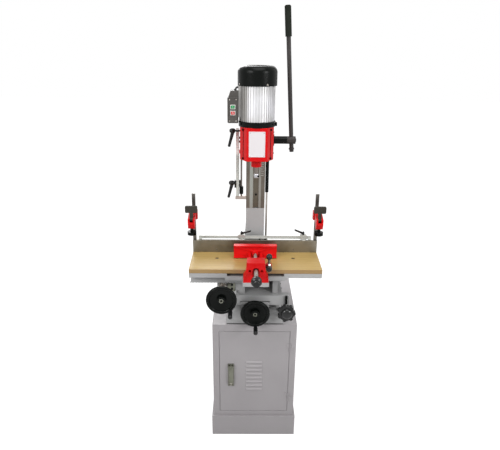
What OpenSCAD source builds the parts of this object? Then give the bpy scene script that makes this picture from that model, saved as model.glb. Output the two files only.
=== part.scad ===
// Tilting-head mortiser that stands on the floor on its own steel cabinet.
// Origin: floor level, under the middle of the cabinet.
// +X is the operator's right, +Y points away from the operator, +Z is up.

/* [Cabinet] */
// Width of the cabinet body
cabinet_w = 369; // [350:1:400]
// Depth of the cabinet body
cabinet_d = 480; // [470:1:520]
// Height of the cabinet top above the floor
cabinet_h = 597; // [570:1:640]
// Thickness of the folded sheet
sheet_t = 2; // [1.5:0.1:3]
// Height of the plinth
plinth_h = 108; // [90:1:120]
// How far the plinth stands out beyond the body
plinth_lip = 8.5; // [5:0.5:15]
// Width of the door
door_w = 310; // [280:1:320]
// Height of the door
door_h = 429; // [380:1:435]
// Distance from the plinth to the door's lower edge
door_rise = 25; // [15:1:30]
// Number of louvres pressed in the door
louvre_count = 8; // [4:1:10]
// Length of one louvre
louvre_w = 72; // [50:1:90]

/* [Base casting] */
// Width of the casting's foot
foot_w = 247; // [230:1:270]
// Width of the casting's waist
waist_w = 159; // [140:1:170]
// Height from the cabinet to the waist
base_h = 71; // [65:1:85]
// Front of the foot, measured from the origin
foot_front = 233; // [228:1:238]
// Width of the cross way
way_w = 130; // [120:1:135]
// Height of the tilt axis above the cabinet
pivot_h = 353; // [350:1:380]
// Radius of the tilt shaft
pivot_r = 30; // [25:1:32]

/* [Saddle] */
// Height of the saddle's lower block
saddle_h = 46; // [42:1:55]
// Height of the two cheeks
cheek_h = 58; // [50:1:65]
// Radius of a handwheel to the outside of its rim
wheel_r = 62.5; // [55:0.5:65]
// Length of a crank grip
grip_len = 60; // [50:1:70]

/* [Table] */
// Length of the table and of the fence
table_l = 550; // [540:1:600]
// Distance from the origin to the table's front edge
table_front = 256; // [250:1:265]
// Thickness of the wooden board
board_t = 18; // [15:1:25]
// Height of the fence plate
fence_h = 74; // [65:1:85]
// Height of the clamp posts above the table casting
post_h = 285; // [270:1:288]
// Width of the vise jaw
jaw_w = 185; // [160:1:200]
// Height of the vise jaw
jaw_h = 57; // [50:1:60]
// Width of the vise body at its feet
vise_foot_w = 102; // [96:1:106]
// Height of the vise body
vise_h = 86; // [80:1:92]

/* [Column] */
// Width of the column
column_w = 82; // [78:1:84]
// Height of the column above the tilt axis
column_h = 490; // [480:1:520]
// Height of the light front part above the tilt axis
shoulder_h = 104; // [90:1:120]
// Module of the feed rack and pinion
feed_module = 2.5; // [2.3:0.1:2.5]
// Teeth on the feed pinion
feed_teeth = 40; // [36:2:40]

/* [Head] */
// Height of the head's underside above the tilt axis
head_rise = 352; // [345:1:360]
// Height of the head casting
head_h = 131; // [125:1:140]
// Width of the head casting
head_w = 134; // [130:1:140]
// Distance from the origin to the head's front facet
head_front = 175; // [165:1:185]
// Distance from the origin to the chisel axis
chisel_y = 105; // [100:1:108]
// Radius of the chisel bushing's bore
chisel_bore_r = 6.4; // [5:0.1:7]
// Radius of the motor's finned body
motor_r = 70.5; // [66:0.5:72]
// Height of the motor's finned body
motor_h = 134; // [120:1:150]
// Height of the motor's cap
cap_h = 73; // [65:1:80]
// Length of the feed lever above its hub
lever_len = 510; // [400:1:540]

/* [Hidden] */
$fn = 48;

// Clearances and cutting overrun, used everywhere
cut = 1;
run_gap = 0.05;
slide_gap = 0.3;
show_gap = 1.5;

// Finishes
paint_gray = "#c9c4c1";
cast_gray = "#b9b8ba";
steel = "#8d8a84";
bright = "#d8d8d8";
black = "#1c1d1f";
red = "#d8121a";
wood = "#d6b877";

// Cabinet
cabinet_front = -cabinet_d / 2;
door_z0 = plinth_h + door_rise;
door_z1 = door_z0 + door_h;
door_pan = 18;
plinth_t = 3;
plinth_flange = 34;
top_t = 4;
louvre_pitch = 21;
louvre_slot = 7;
louvre_out = 5;
louvre_rise_share = 0.48;
louvre_z = door_z0 + louvre_rise_share * door_h;
knuckle_r = 3;
knuckle_h = 22;
hinge_pin_r = 1.5;
leaf_t = 1.5;
leaf_w = 16;
hinge_inset = 60;
hinge_x = door_w / 2 + show_gap + cut;
hinge_y = cabinet_front - knuckle_r;
latch_w = 28;
latch_h = 120;
latch_t = 3;
latch_inset = 51;
latch_rise_share = 0.47;
latch_x = -door_w / 2 + latch_inset;
latch_z = door_z0 + latch_rise_share * door_h;
latch_ear_t = 3;
latch_ear_out = 9;
latch_ear_h = 12;
latch_pin_r = 1.5;
latch_arm_w = 19;
latch_arm_t = 5;
latch_arm_h = 84;
latch_pin_y = cabinet_front - latch_t - latch_ear_out / 2;
latch_pin_z = latch_z + latch_h / 2 - latch_ear_h;
latch_step = 2;

// Base casting
base_rear = 165;
base_waist_front = 190;
base_top = cabinet_h + base_h;
way_t = 18;
dove_h = 18;
dove_in = 15;
way_rear = 60;
way_z = base_top + way_t;
screw_ch_w = 32;
screw_ch_deep = 13;
screw_r = 8;
screw_rise = 3;
screw_z = base_top + screw_rise;
nut_y0 = -165;
nut_len = 30;
pivot_z = cabinet_h + pivot_h;
upright_front = 78;
upright_w = 116;
boss_wall = 10;
boss_r = pivot_r + boss_wall;
gusset_t = 16;
gusset_front = 22;
gusset_h = 170;
bolt_r = 6;
bolt_hole_r = 6.5;
bolt_head_r = 10.5;
bolt_head_h = 8;
bolt_inset = 19;
bolt_front = -205;
bolt_rear = 138;
bolt_len = 30;
foot_t = 18;
shoulder_x_shares = [0, 0.28, 0.65, 0.88, 1, 1];
shoulder_z_shares = [1, 0.94, 0.74, 0.5, 0.25, 0];

// Saddle
saddle_x0 = -82;
saddle_x1 = 116;
saddle_front = 225;
saddle_in = 25;
saddle_rear = 20;
saddle_z1 = way_z + saddle_h;
cheek_left_x0 = -70;
cheek_left_x1 = -44;
cheek_right_x0 = 75;
cheek_right_x1 = 97;
cheek_front = 203;
cheek_rear = 40;
cheek_web = 20;
deck_z0 = saddle_z1 + cheek_h;
deck_t = 10;
deck_z1 = deck_z0 + deck_t;
long_way_h = 16;
long_way_y0 = -172;
long_way_y1 = -88;
long_way_in = 7;
bracket_t = 18;
bracket_top_w = 120;
bracket_low_w = 74;
bracket_low = 21;
bracket_up = 16;
shaft_x = -138;
shaft_drop = 16;
shaft_z = deck_z0 - shaft_drop;
shaft_r = 8;
arm_plate_x0 = -162;
arm_plate_low = 30;
arm_boss_r = 17;
arm_boss_out = 3;
lock_x = 132;
lock_drop = 10;
lock_z = way_z - lock_drop;
lock_r = 5;
lock_block_w = 30;
lock_block_d = 30;
lock_block_low = 16;
knob_r = 33;
knob_lobe_r = 9;
knob_lobes = 7;
knob_t = 20;
knob_y = -262;
knob_dome_r = 15;
knob_dome_h = 4;

// Handwheels and cranks
rim_r = 8;
hub_r = 16;
hub_back = 13;
hub_front = 5;
web_t = 6;
dish = 8;
cross_wheel_y = -272;
table_wheel_y = -341;
grip_r = 9;
grip_neck_r = 6.5;
grip_base = 4;
screw_len = 215;
table_grip_angle = -48;
cross_grip_angle = -88;

// Rack and pinion under the table
table_module = 2;
tooth_root_share = 1.3;
tooth_floor_share = 1.15;
tooth_tip_share = 0.85;
tooth_half_shares = [1.12, 0.66, 0.32];
table_teeth = 16;
gear_y0 = -222;
gear_y1 = -207;
table_rack_inset = 3;
table_rack_x0 = -table_l / 2 + table_rack_inset;
table_rack_x1 = -4;

// Table
slab_gap = 3;
slab_t = 19;
step_h = 13;
wing_t = 20;
slab_w = 252;
step_w = 8;
table_rear = 45;
arm_lip = 2.5;
arm_w = vise_foot_w + 2 * arm_lip;
arm_front = 312;
carriage_l = 200;
carriage_y0 = -192;
carriage_y1 = -68;
slab_z0 = deck_z1 + long_way_h + slab_gap;
slab_z1 = slab_z0 + slab_t;
board_z0 = slab_z1 + step_h;
board_z1 = board_z0 + board_t;
wing_z0 = board_z0 - wing_t;
fence_y = -76;
fence_t = 10;
fence_foot = 20;
fence_foot_t = 10;
fence_z1 = board_z0 + fence_h;
fence_rib_t = 8;
fence_rib_shares = [-0.62, -0.22, 0.22, 0.62];
board_gap = 0.5;
board_hole_x = 165;
board_hole_y = -141;
board_sink_r = 8;
board_sink = 6;
board_hole_r = 3;
ruler_inset = 25;
ruler_l = table_l - 2 * ruler_inset;
ruler_h = 12;
ruler_t = 6;
ruler_gap = 2;
ruler_back = 8;
ruler_y = fence_y + fence_t + ruler_back;
ruler_z0 = fence_z1 + ruler_gap;
ruler_foot_w = 14;
ruler_foot_low = 15;
post_inset = 8;
post_x = table_l / 2 - post_inset;
post_w = 15;
post_t = 8;
post_y = fence_y + fence_t;
post_z0 = board_z0 + fence_foot_t;
post_z1 = board_z0 + post_h;

// Stops on the ruler
stop_w = 28;
stop_wall = 5;
stop_top = 7;
stop_left_inset = 215;
stop_left_x = -table_l / 2 + stop_left_inset;
stop_right_inset = 60;
stop_right_x = table_l / 2 - stop_right_inset;
stop_toe = 16;
stop_toe_t = 5;
stop_stud_r = 3;
stop_stud_h = 5;
stop_left_angle = 0;
stop_right_angle = 155;

// Ratchet levers
lever_hub_r = 8;
lever_hub_h = 16;
lever_cap_r = 4;
lever_cap_h = 8;
lever_arm_l = 62;
lever_arm_t = 9;
lever_root_t = 14;
lever_rise = 14;
lever_tip_r = 5.5;
lever_neck_r = 4.5;
lever_root_r = 7;
small_lever_share = 0.62;

// Hold-down clamps
clamp_out = 5;
clamp_x = post_x + clamp_out;
clamp_y = -122;
clamp_pin_rise = 171;
clamp_pin_z = board_z1 + clamp_pin_rise;
clamp_pin_r = 3;
clamp_half_w = 15;
clamp_slot = 14.6;
clamp_low = 40;
clamp_high = 20;
clamp_nose_top = 12;
clamp_nose = 16;
clamp_sleeve = 8;
clamp_seat = 18;
clamp_spindle_r = 7;
clamp_pad_r = 19;
clamp_pad_t = 14;
clamp_pad_rise = 102;
clamp_pad_z = board_z1 + clamp_pad_rise;
clamp_stem_w = 14;
clamp_stem_t = 12;
paddle_w = 52;
paddle_h = 30;
paddle_t = 9;
paddle_round = 5;
paddle_rise = 29;
clamp_eye_r = 9;

// Vise
vise_z0 = slab_z1;
vise_z1 = vise_z0 + vise_h;
vise_front = arm_front;
vise_back = table_front + show_gap;
vise_top_w = 72;
vise_knee = 30;
vise_screw_rise = 51;
vise_screw_z = vise_z0 + vise_screw_rise;
vise_screw_r = 8;
vise_arch_w = 27;
vise_arch_deep = 26;
vise_rod_x = 24;
vise_rod_r = 6;
vise_rod_end = 300;
jaw_front = 138;
jaw_t = 14;
jaw_clear = 3;
jaw_z0 = board_z1 + jaw_clear;
jaw_rib_t = 6;
jaw_rib_out = 10;
jaw_boss_r = 14;
jaw_boss_out = 14;
jaw_rib_shares = [0.92, 0.16, 0.5];
vise_tip_r = 5;
vise_thread_front = 392;
thread_pitch = 4;
thread_deep = 0.9;
vise_knob_r = 20.5;
vise_knob_len = 39;
vise_knob_neck = 12;
vise_nose_r = 12.8;
cam_x = 53;
cam_r = 11;
cam_front = 300;
cam_boss_r = 13;
cam_boss_t = 18;
cam_stud_r = 6;
cam_ring_r = 12.5;
cam_ring_t = 8;
cam_arm_r = 5;
cam_arm_h = 50;
cam_ball_r = 12;
cam_rise = 2;
cam_z = vise_screw_z + cam_rise;
cam_y = -vise_back - cam_boss_t;

// Column
column_front = 10;
column_rear = 70;
column_foot = 70;
dove_deep = 18;
dove_slope = 11;
neck_deep = 4.5;
column_z0 = pivot_z - column_foot;
column_z1 = pivot_z + column_h;
shoulder_z = pivot_z + shoulder_h;
channel_x0 = -9;
channel_x1 = 14;
channel_deep = 8;
rack_x = 28;
rack_w = 14;
rack_body = 8;
rack_low = 250;
rack_high = 470;
pivot_seat = 40;
pivot_nut_r = 38;
pivot_nut_t = 14;
way_bolt_r = 5;
way_bolt_h = 3;
way_bolt_shares = [0.16, 0.42, 0.68];

// Depth stop on the column's left side
rod_inset = 5;
rod_x = -head_w / 2 + rod_inset;
rod_y = -12;
rod_r = 3.75;
depth_rise = 148;
depth_z0 = pivot_z + depth_rise;
depth_foot_t = 14;
depth_foot_y0 = -20;
depth_foot_y1 = -2;
rod_len = 327;
rod_z1 = depth_z0 + rod_len;
scale_out = 23;
scale_x0 = rod_x - scale_out;
depth_foot_lip = 3;
depth_foot_x0 = scale_x0 - depth_foot_lip;
scale_w = 13;
scale_t = 3;
scale_y = -14;
scale_len = 310;
scale_z1 = depth_z0 + scale_len;
nut_r = 8.8;
nut_rise = 10;
nut_z0 = depth_z0 + depth_foot_t + nut_rise;
nut_h = 34;
stop_block_rise = 28;
stop_block_z0 = nut_z0 + stop_block_rise;
stop_block_h = 32;
stop_block_wrap = 7;
stop_block_x0 = scale_x0 - stop_block_wrap;
stop_block_y0 = -18;
stop_block_y1 = -2;
depth_lever_rise = 20;
depth_lever_z = stop_block_z0 + depth_lever_rise;
depth_lever_r = 3;

// Gas spring on the column's right side
gas_r = 7.5;
gas_x = column_w / 2 + gas_r + show_gap;
gas_y = -8;
gas_wall = 1.2;
gas_rod_r = 4;
gas_foot_drop = 45;
gas_foot_z = pivot_z - gas_foot_drop;
gas_foot_t = 12;
gas_len = 161;
gas_stud_h = 12;
gas_z1 = pivot_z + head_rise - gas_stud_h;
gas_z0 = gas_z1 - gas_len;
gas_cap_t = 6;
gas_piston_h = 10;
gas_stud_r = 4;

// Head
head_z0 = pivot_z + head_rise;
head_z1 = head_z0 + head_h;
head_rear = 12;
facet_w = 82;
facet_y = 132;
head_wall = 12;
cavity_rear = 22;
feed_rise = 66;
feed_pitch_r = feed_module * feed_teeth / 2;
feed_y = -column_front - feed_pitch_r;
feed_z = head_z0 + feed_rise;
feed_shaft_r = 10;
collar_r = 21.5;
collar_h = 35;
bush_r = 8.6;
bush_low = 96;
bush_flange_r = 15;
bush_flange_t = 4;
groove_w = 5;
groove_deep = 3;
rod_groove_w = 12;
rod_groove_y0 = -21;
rod_groove_y1 = -3;
lug_out = 4.5;
lug_x0 = -head_w / 2 - lug_out;
lug_t = 14;
lug_hole_r = 4.2;
head_lever_y = -32;
head_lever_rise = 98;
head_lever_z = head_z0 + head_lever_rise;
head_lever_r = 4;
head_lever_out = 21;
head_lever_x = -head_w / 2 - head_lever_out;

// Feed lever
hub_tube_r = 15.8;
hub_flange_r = 24;
hub_flange_t = 6;
hub_fixed_len = 58;
hub_turning_len = 36;
hub_fixed_x = head_w / 2 + hub_fixed_len;
hub_end_x = hub_fixed_x + hub_turning_len;
lever_inset = 17;
lever_x = hub_end_x - lever_inset;
lever_r = 8.8;
lever_lean = 3.7;
lever_stub = 48;
stub_r = 11.5;
stub_t = 5;
lever_grip_r = 12.5;
lever_grip_len = 111;
lever_grip_cap = 4;

// Motor
flange_lip = 2.5;
flange_r = motor_r + flange_lip;
flange_h = 21;
flange_ear = 14;
flange_ear_w = 16;
fin_count = 44;
fin_deep = 4;
fin_t = 3.2;
motor_bore_r = 45;
rotor_r = 42;
rotor_h = 90;
cap_lip = 6.5;
cap_r = motor_r + cap_lip;
cap_round = 24;
cap_wall = 3;
spindle_r = 8;
bearing_r = 16;
chuck_r = 16;
chuck_h = 40;
chuck_gap = 8;
fan_r = 58;
fan_t = 3;
fan_h = 20;
fan_blades = 8;
flange_z = head_z1 + flange_h;
cap_z = flange_z + motor_h;

// Switch box on the motor's left side
pad_out = 3.5;
pad_x = -motor_r - pad_out;
pad_w = 44;
pad_low = 14;
switch_w = 42;
switch_d = 62;
switch_h = 122;
switch_rise = 14;
switch_z0 = head_z1 + switch_rise;
switch_y0 = -142;
switch_neck_h = 24;
switch_neck_w = 30;
switch_round = 5;
button_w = 14;
button_h = 11;
button_out = 3;
button_in = 5;
button_stroke = 2.5;
button_x = pad_x - switch_w / 2;
start_rise = 62;
stop_rise = 39;
start_z = switch_z0 + start_rise;
stop_z = switch_z0 + stop_rise;
lead_r = 3;
lead_bend = 12;
lead_spread = 7;

// A block between two opposite corners
module block(lo, hi) {
    translate(lo)
    cube(hi - lo);
}

// Round bars along each axis, between two stations
module bar_x(r, x0, x1, y, z) {
    translate([x0, y, z])
    rotate([0, 90, 0])
    cylinder(r = r, h = x1 - x0);
}

module bar_y(r, y0, y1, x, z) {
    translate([x, y0, z])
    rotate([-90, 0, 0])
    cylinder(r = r, h = y1 - y0);
}

module bar_z(r, z0, z1, x, y) {
    translate([x, y, z0])
    cylinder(r = r, h = z1 - z0);
}

// A front outline (X, Z) given a depth from y0 to y1
module front_plate(y0, y1) {
    translate([0, y1, 0])
    rotate([90, 0, 0])
    linear_extrude(y1 - y0)
    children();
}

// A side outline (Y, Z) given a width from x0 to x1
module side_plate(x0, x1) {
    translate([x0, 0, 0])
    rotate([90, 0, 90])
    linear_extrude(x1 - x0)
    children();
}

// A rectangle with round corners
module round_rect(lo, hi, r) {
    translate([lo[0] + r, lo[1]])
    square([hi[0] - lo[0] - 2 * r, hi[1] - lo[1]]);
    translate([lo[0], lo[1] + r])
    square([hi[0] - lo[0], hi[1] - lo[1] - 2 * r]);
    for (x = [lo[0] + r, hi[0] - r], y = [lo[1] + r, hi[1] - r])
        translate([x, y])
        circle(r);
}

// Cabinet

module louvre(z) {
    side_plate(-louvre_w / 2, louvre_w / 2)
    polygon([
        [cabinet_front + sheet_t, z + louvre_slot],
        [cabinet_front, z + louvre_slot],
        [cabinet_front - louvre_out, z],
        [cabinet_front - louvre_out + sheet_t / 2, z],
        [cabinet_front + sheet_t / 2, z + louvre_slot - sheet_t / 2]
    ]);
    for (x = [-louvre_w / 2, louvre_w / 2 - sheet_t / 2])
        side_plate(x, x + sheet_t / 2)
        polygon([
            [cabinet_front + sheet_t / 2, z + louvre_slot],
            [cabinet_front - louvre_out, z],
            [cabinet_front + sheet_t / 2, z]
        ]);
}

// The lower half of each hinge is welded to the cabinet, the upper half to the door
module hinge_half(z0, z1, side) {
    bar_z(knuckle_r, z0, z1, hinge_x, hinge_y);
    block(
        [min(hinge_x, hinge_x + side * leaf_w), cabinet_front - leaf_t, z0],
        [max(hinge_x, hinge_x + side * leaf_w), cabinet_front, z1]
    );
}

hinge_levels = [door_z0 + hinge_inset, door_z1 - hinge_inset - 2 * knuckle_h];
louvre_levels = [
    for (i = [0:louvre_count - 1])
        louvre_z + (i - louvre_count / 2) * louvre_pitch
];

module cabinet_shell() {
    color(paint_gray) {
        difference() {
            block([-cabinet_w / 2, cabinet_front, plinth_h], [cabinet_w / 2, -cabinet_front, cabinet_h]);
            block(
                [-cabinet_w / 2 + sheet_t, cabinet_front + sheet_t, plinth_h + sheet_t],
                [cabinet_w / 2 - sheet_t, -cabinet_front - sheet_t, cabinet_h - top_t]
            );
            block(
                [-door_w / 2 - show_gap, cabinet_front - cut, door_z0 - show_gap],
                [door_w / 2 + show_gap, cabinet_front + sheet_t + cut, door_z1 + show_gap]
            );
            base_bolt_holes(cabinet_h - top_t - cut, cabinet_h + cut);
        }
        for (z = hinge_levels) {
            hinge_half(z, z + knuckle_h, 1);
            bar_z(hinge_pin_r, z + knuckle_h, z + 2 * knuckle_h, hinge_x, hinge_y);
        }
    }
}

module cabinet_plinth() {
    half_w = cabinet_w / 2 + plinth_lip;
    half_d = cabinet_d / 2 + plinth_lip;
    color(paint_gray)
    difference() {
        block([-half_w, -half_d, 0], [half_w, half_d, plinth_h]);
        block(
            [-half_w + plinth_t, -half_d + plinth_t, plinth_t],
            [half_w - plinth_t, half_d - plinth_t, plinth_h - plinth_t]
        );
        block(
            [-half_w + plinth_flange, -half_d + plinth_flange, plinth_t],
            [half_w - plinth_flange, half_d - plinth_flange, plinth_h + cut]
        );
    }
}

module cabinet_door() {
    color(paint_gray)
    difference() {
        union() {
            difference() {
                block(
                    [-door_w / 2, cabinet_front, door_z0],
                    [door_w / 2, cabinet_front + door_pan, door_z1]
                );
                block(
                    [-door_w / 2 + sheet_t, cabinet_front + sheet_t, door_z0 + sheet_t],
                    [door_w / 2 - sheet_t, cabinet_front + door_pan + cut, door_z1 - sheet_t]
                );
                for (z = louvre_levels)
                    block(
                        [-louvre_w / 2, cabinet_front - cut, z],
                        [louvre_w / 2, cabinet_front + sheet_t + cut, z + louvre_slot]
                    );
            }
            for (z = louvre_levels)
                louvre(z);
            for (z = hinge_levels)
                hinge_half(z + knuckle_h + slide_gap, z + 2 * knuckle_h, -1);
        }
        for (z = hinge_levels)
            bar_z(hinge_pin_r + run_gap, z, z + 2 * knuckle_h + cut, hinge_x, hinge_y);
    }
}

module latch_plate() {
    y0 = cabinet_front - latch_t;
    color(bright)
    difference() {
        union() {
            block(
                [latch_x - latch_w / 2, y0, latch_z - latch_h / 2],
                [latch_x + latch_w / 2, cabinet_front, latch_z + latch_h / 2]
            );
            for (x = [latch_x - latch_w / 2, latch_x + latch_w / 2 - latch_ear_t])
                block(
                    [x, y0 - latch_ear_out, latch_pin_z - latch_ear_h / 2],
                    [x + latch_ear_t, y0, latch_pin_z + latch_ear_h / 2]
                );
        }
        bar_x(
            latch_pin_r + run_gap, latch_x - latch_w / 2 - cut, latch_x + latch_w / 2 + cut,
            latch_pin_y, latch_pin_z
        );
    }
}

module latch_handle() {
    color(bright) {
        bar_x(latch_pin_r, latch_x - latch_w / 2, latch_x + latch_w / 2, latch_pin_y, latch_pin_z);
        bar_x(
            latch_ear_out / 2 - slide_gap, latch_x - latch_arm_w / 2, latch_x + latch_arm_w / 2,
            latch_pin_y, latch_pin_z
        );
        side_plate(latch_x - latch_arm_w / 2, latch_x + latch_arm_w / 2)
        polygon([
            [latch_pin_y - latch_arm_t / 2, latch_pin_z],
            [latch_pin_y + latch_arm_t / 2, latch_pin_z],
            [latch_pin_y + latch_arm_t / 2, latch_pin_z - latch_arm_h],
            [latch_pin_y - latch_arm_t - latch_step, latch_pin_z - latch_arm_h],
            [latch_pin_y - latch_arm_t, latch_pin_z - latch_arm_h / 2]
        ]);
    }
}

// Base casting

module base_bolt_places() {
    for (x = [-foot_w / 2 + bolt_inset, foot_w / 2 - bolt_inset], y = [bolt_front, bolt_rear])
        translate([x, y, 0])
        children();
}

module base_bolt_holes(z0, z1) {
    base_bolt_places()
    translate([0, 0, z0])
    cylinder(r = bolt_hole_r, h = z1 - z0);
}

module base_bolts() {
    color(steel)
    base_bolt_places() {
        translate([0, 0, cabinet_h + foot_t - bolt_len])
        cylinder(r = bolt_r, h = bolt_len);
        translate([0, 0, cabinet_h + foot_t])
        cylinder(r = bolt_head_r, h = bolt_head_h, $fn = 6);
        translate([0, 0, cabinet_h - top_t - bolt_head_h])
        cylinder(r = bolt_head_r, h = bolt_head_h, $fn = 6);
    }
}

module base_outline() {
    spread = (foot_w - waist_w) / 2;
    n = len(shoulder_x_shares) - 1;
    right = [
        for (i = [0:n])
            [waist_w / 2 + shoulder_x_shares[i] * spread, cabinet_h + shoulder_z_shares[i] * base_h]
    ];
    polygon(concat(right, [for (i = [n:-1:0]) [-right[i][0], right[i][1]]]));
}

module base_side() {
    spread = foot_front - base_waist_front;
    n = len(shoulder_x_shares) - 1;
    front = [
        for (i = [0:n])
            [-base_waist_front - shoulder_x_shares[i] * spread, cabinet_h + shoulder_z_shares[i] * base_h]
    ];
    polygon(concat([[base_rear, base_top]], front, [[base_rear, cabinet_h]]));
}

module cross_way_outline() {
    half = way_w / 2;
    polygon([
        [-half, base_top - cut], [half, base_top - cut], [half, way_z], [half - dove_in, way_z],
        [half, way_z + dove_h], [-half, way_z + dove_h], [-half + dove_in, way_z], [-half, way_z]
    ]);
}

module upright_outline() {
    polygon([
        [-upright_w / 2, base_top - cut], [upright_w / 2, base_top - cut],
        [boss_r, pivot_z], [-boss_r, pivot_z]
    ]);
    translate([0, pivot_z])
    circle(boss_r);
}

module base_casting() {
    ch = screw_ch_w / 2;
    color(cast_gray)
    difference() {
        union() {
            intersection() {
                front_plate(-foot_front, base_rear)
                base_outline();
                side_plate(-foot_w / 2, foot_w / 2)
                base_side();
            }
            front_plate(-base_waist_front, way_rear)
            cross_way_outline();
            front_plate(upright_front, base_rear)
            upright_outline();
            side_plate(-gusset_t / 2, gusset_t / 2)
            polygon([
                [gusset_front, base_top - cut], [upright_front, base_top - cut],
                [upright_front, base_top + gusset_h]
            ]);
        }
        block(
            [-ch, -foot_front, base_top - screw_ch_deep],
            [ch, nut_y0, way_z + dove_h + cut]
        );
        block(
            [-ch, nut_y0 + nut_len, base_top - screw_ch_deep],
            [ch, gusset_front, way_z + dove_h + cut]
        );
        block([-ch, nut_y0 - cut, way_z], [ch, way_rear + cut, way_z + dove_h + cut]);
        block(
            [-bracket_top_w / 2 - show_gap, -foot_front - cut, base_top - bracket_low - show_gap],
            [bracket_top_w / 2 + show_gap, -saddle_front + saddle_in + show_gap, way_z + dove_h + cut]
        );
        bar_y(screw_r + run_gap, nut_y0 - cut, nut_y0 + nut_len + cut, 0, screw_z);
        bar_y(pivot_r + run_gap, upright_front - cut, base_rear + cut, 0, pivot_z);
        base_bolt_holes(cabinet_h - cut, cabinet_h + foot_t);
        base_bolt_places()
        translate([0, 0, cabinet_h + foot_t])
        cylinder(r = bolt_head_r + show_gap, h = base_h);
    }
}

// Saddle

module saddle() {
    left = saddle_x0;
    right = saddle_x1;
    half = way_w / 2;
    color(cast_gray)
    difference() {
        union() {
            block([left, -saddle_front, way_z], [right, -saddle_rear, saddle_z1]);
            for (c = [[cheek_left_x0, cheek_left_x1], [cheek_right_x0, cheek_right_x1]])
                block([c[0], -cheek_front, saddle_z1], [c[1], -cheek_rear, deck_z0]);
            block(
                [cheek_left_x0, -cheek_rear - cheek_web, saddle_z1],
                [cheek_right_x1, -cheek_rear, deck_z0]
            );
            block([left, -cheek_front, deck_z0], [right, -cheek_rear, deck_z1]);
            side_plate(left, right)
            polygon([
                [long_way_y0 + long_way_in, deck_z1], [long_way_y1 - long_way_in, deck_z1],
                [long_way_y1, deck_z1 + long_way_h], [long_way_y0, deck_z1 + long_way_h]
            ]);
            front_plate(-saddle_front - bracket_t, -saddle_front)
            polygon([
                [-bracket_top_w / 2, way_z + bracket_up], [-bracket_top_w / 2, way_z],
                [-bracket_low_w / 2, base_top - bracket_low], [bracket_low_w / 2, base_top - bracket_low],
                [bracket_top_w / 2, way_z], [bracket_top_w / 2, way_z + bracket_up]
            ]);
            block(
                [arm_plate_x0, -cheek_front, shaft_z - arm_plate_low],
                [cheek_left_x0, -cheek_front + bracket_t, deck_z0]
            );
            bar_y(
                arm_boss_r, -cheek_front - arm_boss_out, -cheek_front + bracket_t + arm_boss_out,
                shaft_x, shaft_z
            );
            block(
                [right, -saddle_front, lock_z - lock_block_low],
                [right + lock_block_w, -saddle_front + lock_block_d, saddle_z1]
            );
        }
        front_plate(-saddle_front - cut, -saddle_rear + cut)
        polygon([
            [-half + dove_in - slide_gap, way_z - cut], [half - dove_in + slide_gap, way_z - cut],
            [half - dove_in + slide_gap, way_z],
            [half + slide_gap, way_z + dove_h + slide_gap],
            [-half - slide_gap, way_z + dove_h + slide_gap],
            [-half + dove_in - slide_gap, way_z]
        ]);
        bar_y(screw_r + run_gap, -saddle_front - bracket_t - cut, -saddle_front + cut, 0, screw_z);
        bar_y(
            shaft_r + run_gap, -cheek_front - arm_boss_out - cut,
            -cheek_front + bracket_t + arm_boss_out + cut, shaft_x, shaft_z
        );
        bar_y(lock_r + run_gap, -saddle_front - cut, -saddle_front + lock_block_d + cut, lock_x, lock_z);
    }
}

module lock_knob() {
    color(black) {
        bar_y(lock_r, knob_y, -saddle_front + lock_block_d, lock_x, lock_z);
        front_plate(knob_y - knob_t, knob_y)
        translate([lock_x, lock_z]) {
            circle(knob_r);
            for (i = [0:knob_lobes - 1])
                rotate(i * 360 / knob_lobes)
                translate([knob_r - knob_lobe_r / 3, 0])
                circle(knob_lobe_r);
        }
        bar_y(knob_dome_r, knob_y - knob_t - knob_dome_h, knob_y - knob_t, lock_x, lock_z);
    }
}

// A dished handwheel whose rim lies in the plane y
module handwheel(x, y, z, bore) {
    ring = wheel_r - rim_r;
    translate([x, y, z])
    rotate([90, 0, 0])
    rotate_extrude() {
        translate([ring, 0])
        circle(rim_r);
        polygon([
            [bore, -dish - web_t / 2], [hub_r, -dish - web_t / 2], [ring, -web_t / 2],
            [ring, web_t / 2], [hub_r, -dish + web_t / 2], [hub_r, hub_front],
            [bore, hub_front]
        ]);
        translate([bore, -hub_back])
        square([hub_r - bore, hub_back]);
    }
}

// A crank grip that turns on its stud, outside the rim at the given angle
module crank_grip(x, y, z, angle) {
    ring = wheel_r - rim_r;
    translate([x + ring * cos(angle), y - rim_r, z + ring * sin(angle)])
    rotate([90, 0, 0])
    rotate_extrude()
    polygon([
        [0, slide_gap], [grip_neck_r, slide_gap], [grip_neck_r, grip_base], [grip_r, grip_len / 3],
        [grip_r, grip_len - grip_base], [grip_neck_r, grip_len], [0, grip_len]
    ]);
}

module threaded_rod_y(r, y0, y1, x, z) {
    turns = floor((y1 - y0) / thread_pitch);
    translate([x, y0, z])
    rotate([-90, 0, 0])
    rotate_extrude()
    polygon(concat(
        [[0, 0]],
        [
            for (i = [0:turns - 1], k = [0, 1])
                [r - k * thread_deep, (i + k / 2) * (y1 - y0) / turns]
        ],
        [[r, y1 - y0], [0, y1 - y0]]
    ));
}

module cross_wheel() {
    color(black)
    handwheel(0, cross_wheel_y, screw_z, screw_r);
}

module cross_screw() {
    color(steel) {
        bar_y(screw_r, cross_wheel_y - hub_front - cut, -saddle_front, 0, screw_z);
        threaded_rod_y(screw_r, -saddle_front, -saddle_front + screw_len, 0, screw_z);
    }
}

module cross_grip() {
    color(black)
    crank_grip(0, cross_wheel_y, screw_z, cross_grip_angle);
}

module table_wheel() {
    color(black)
    handwheel(shaft_x, table_wheel_y, shaft_z, shaft_r);
}

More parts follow.
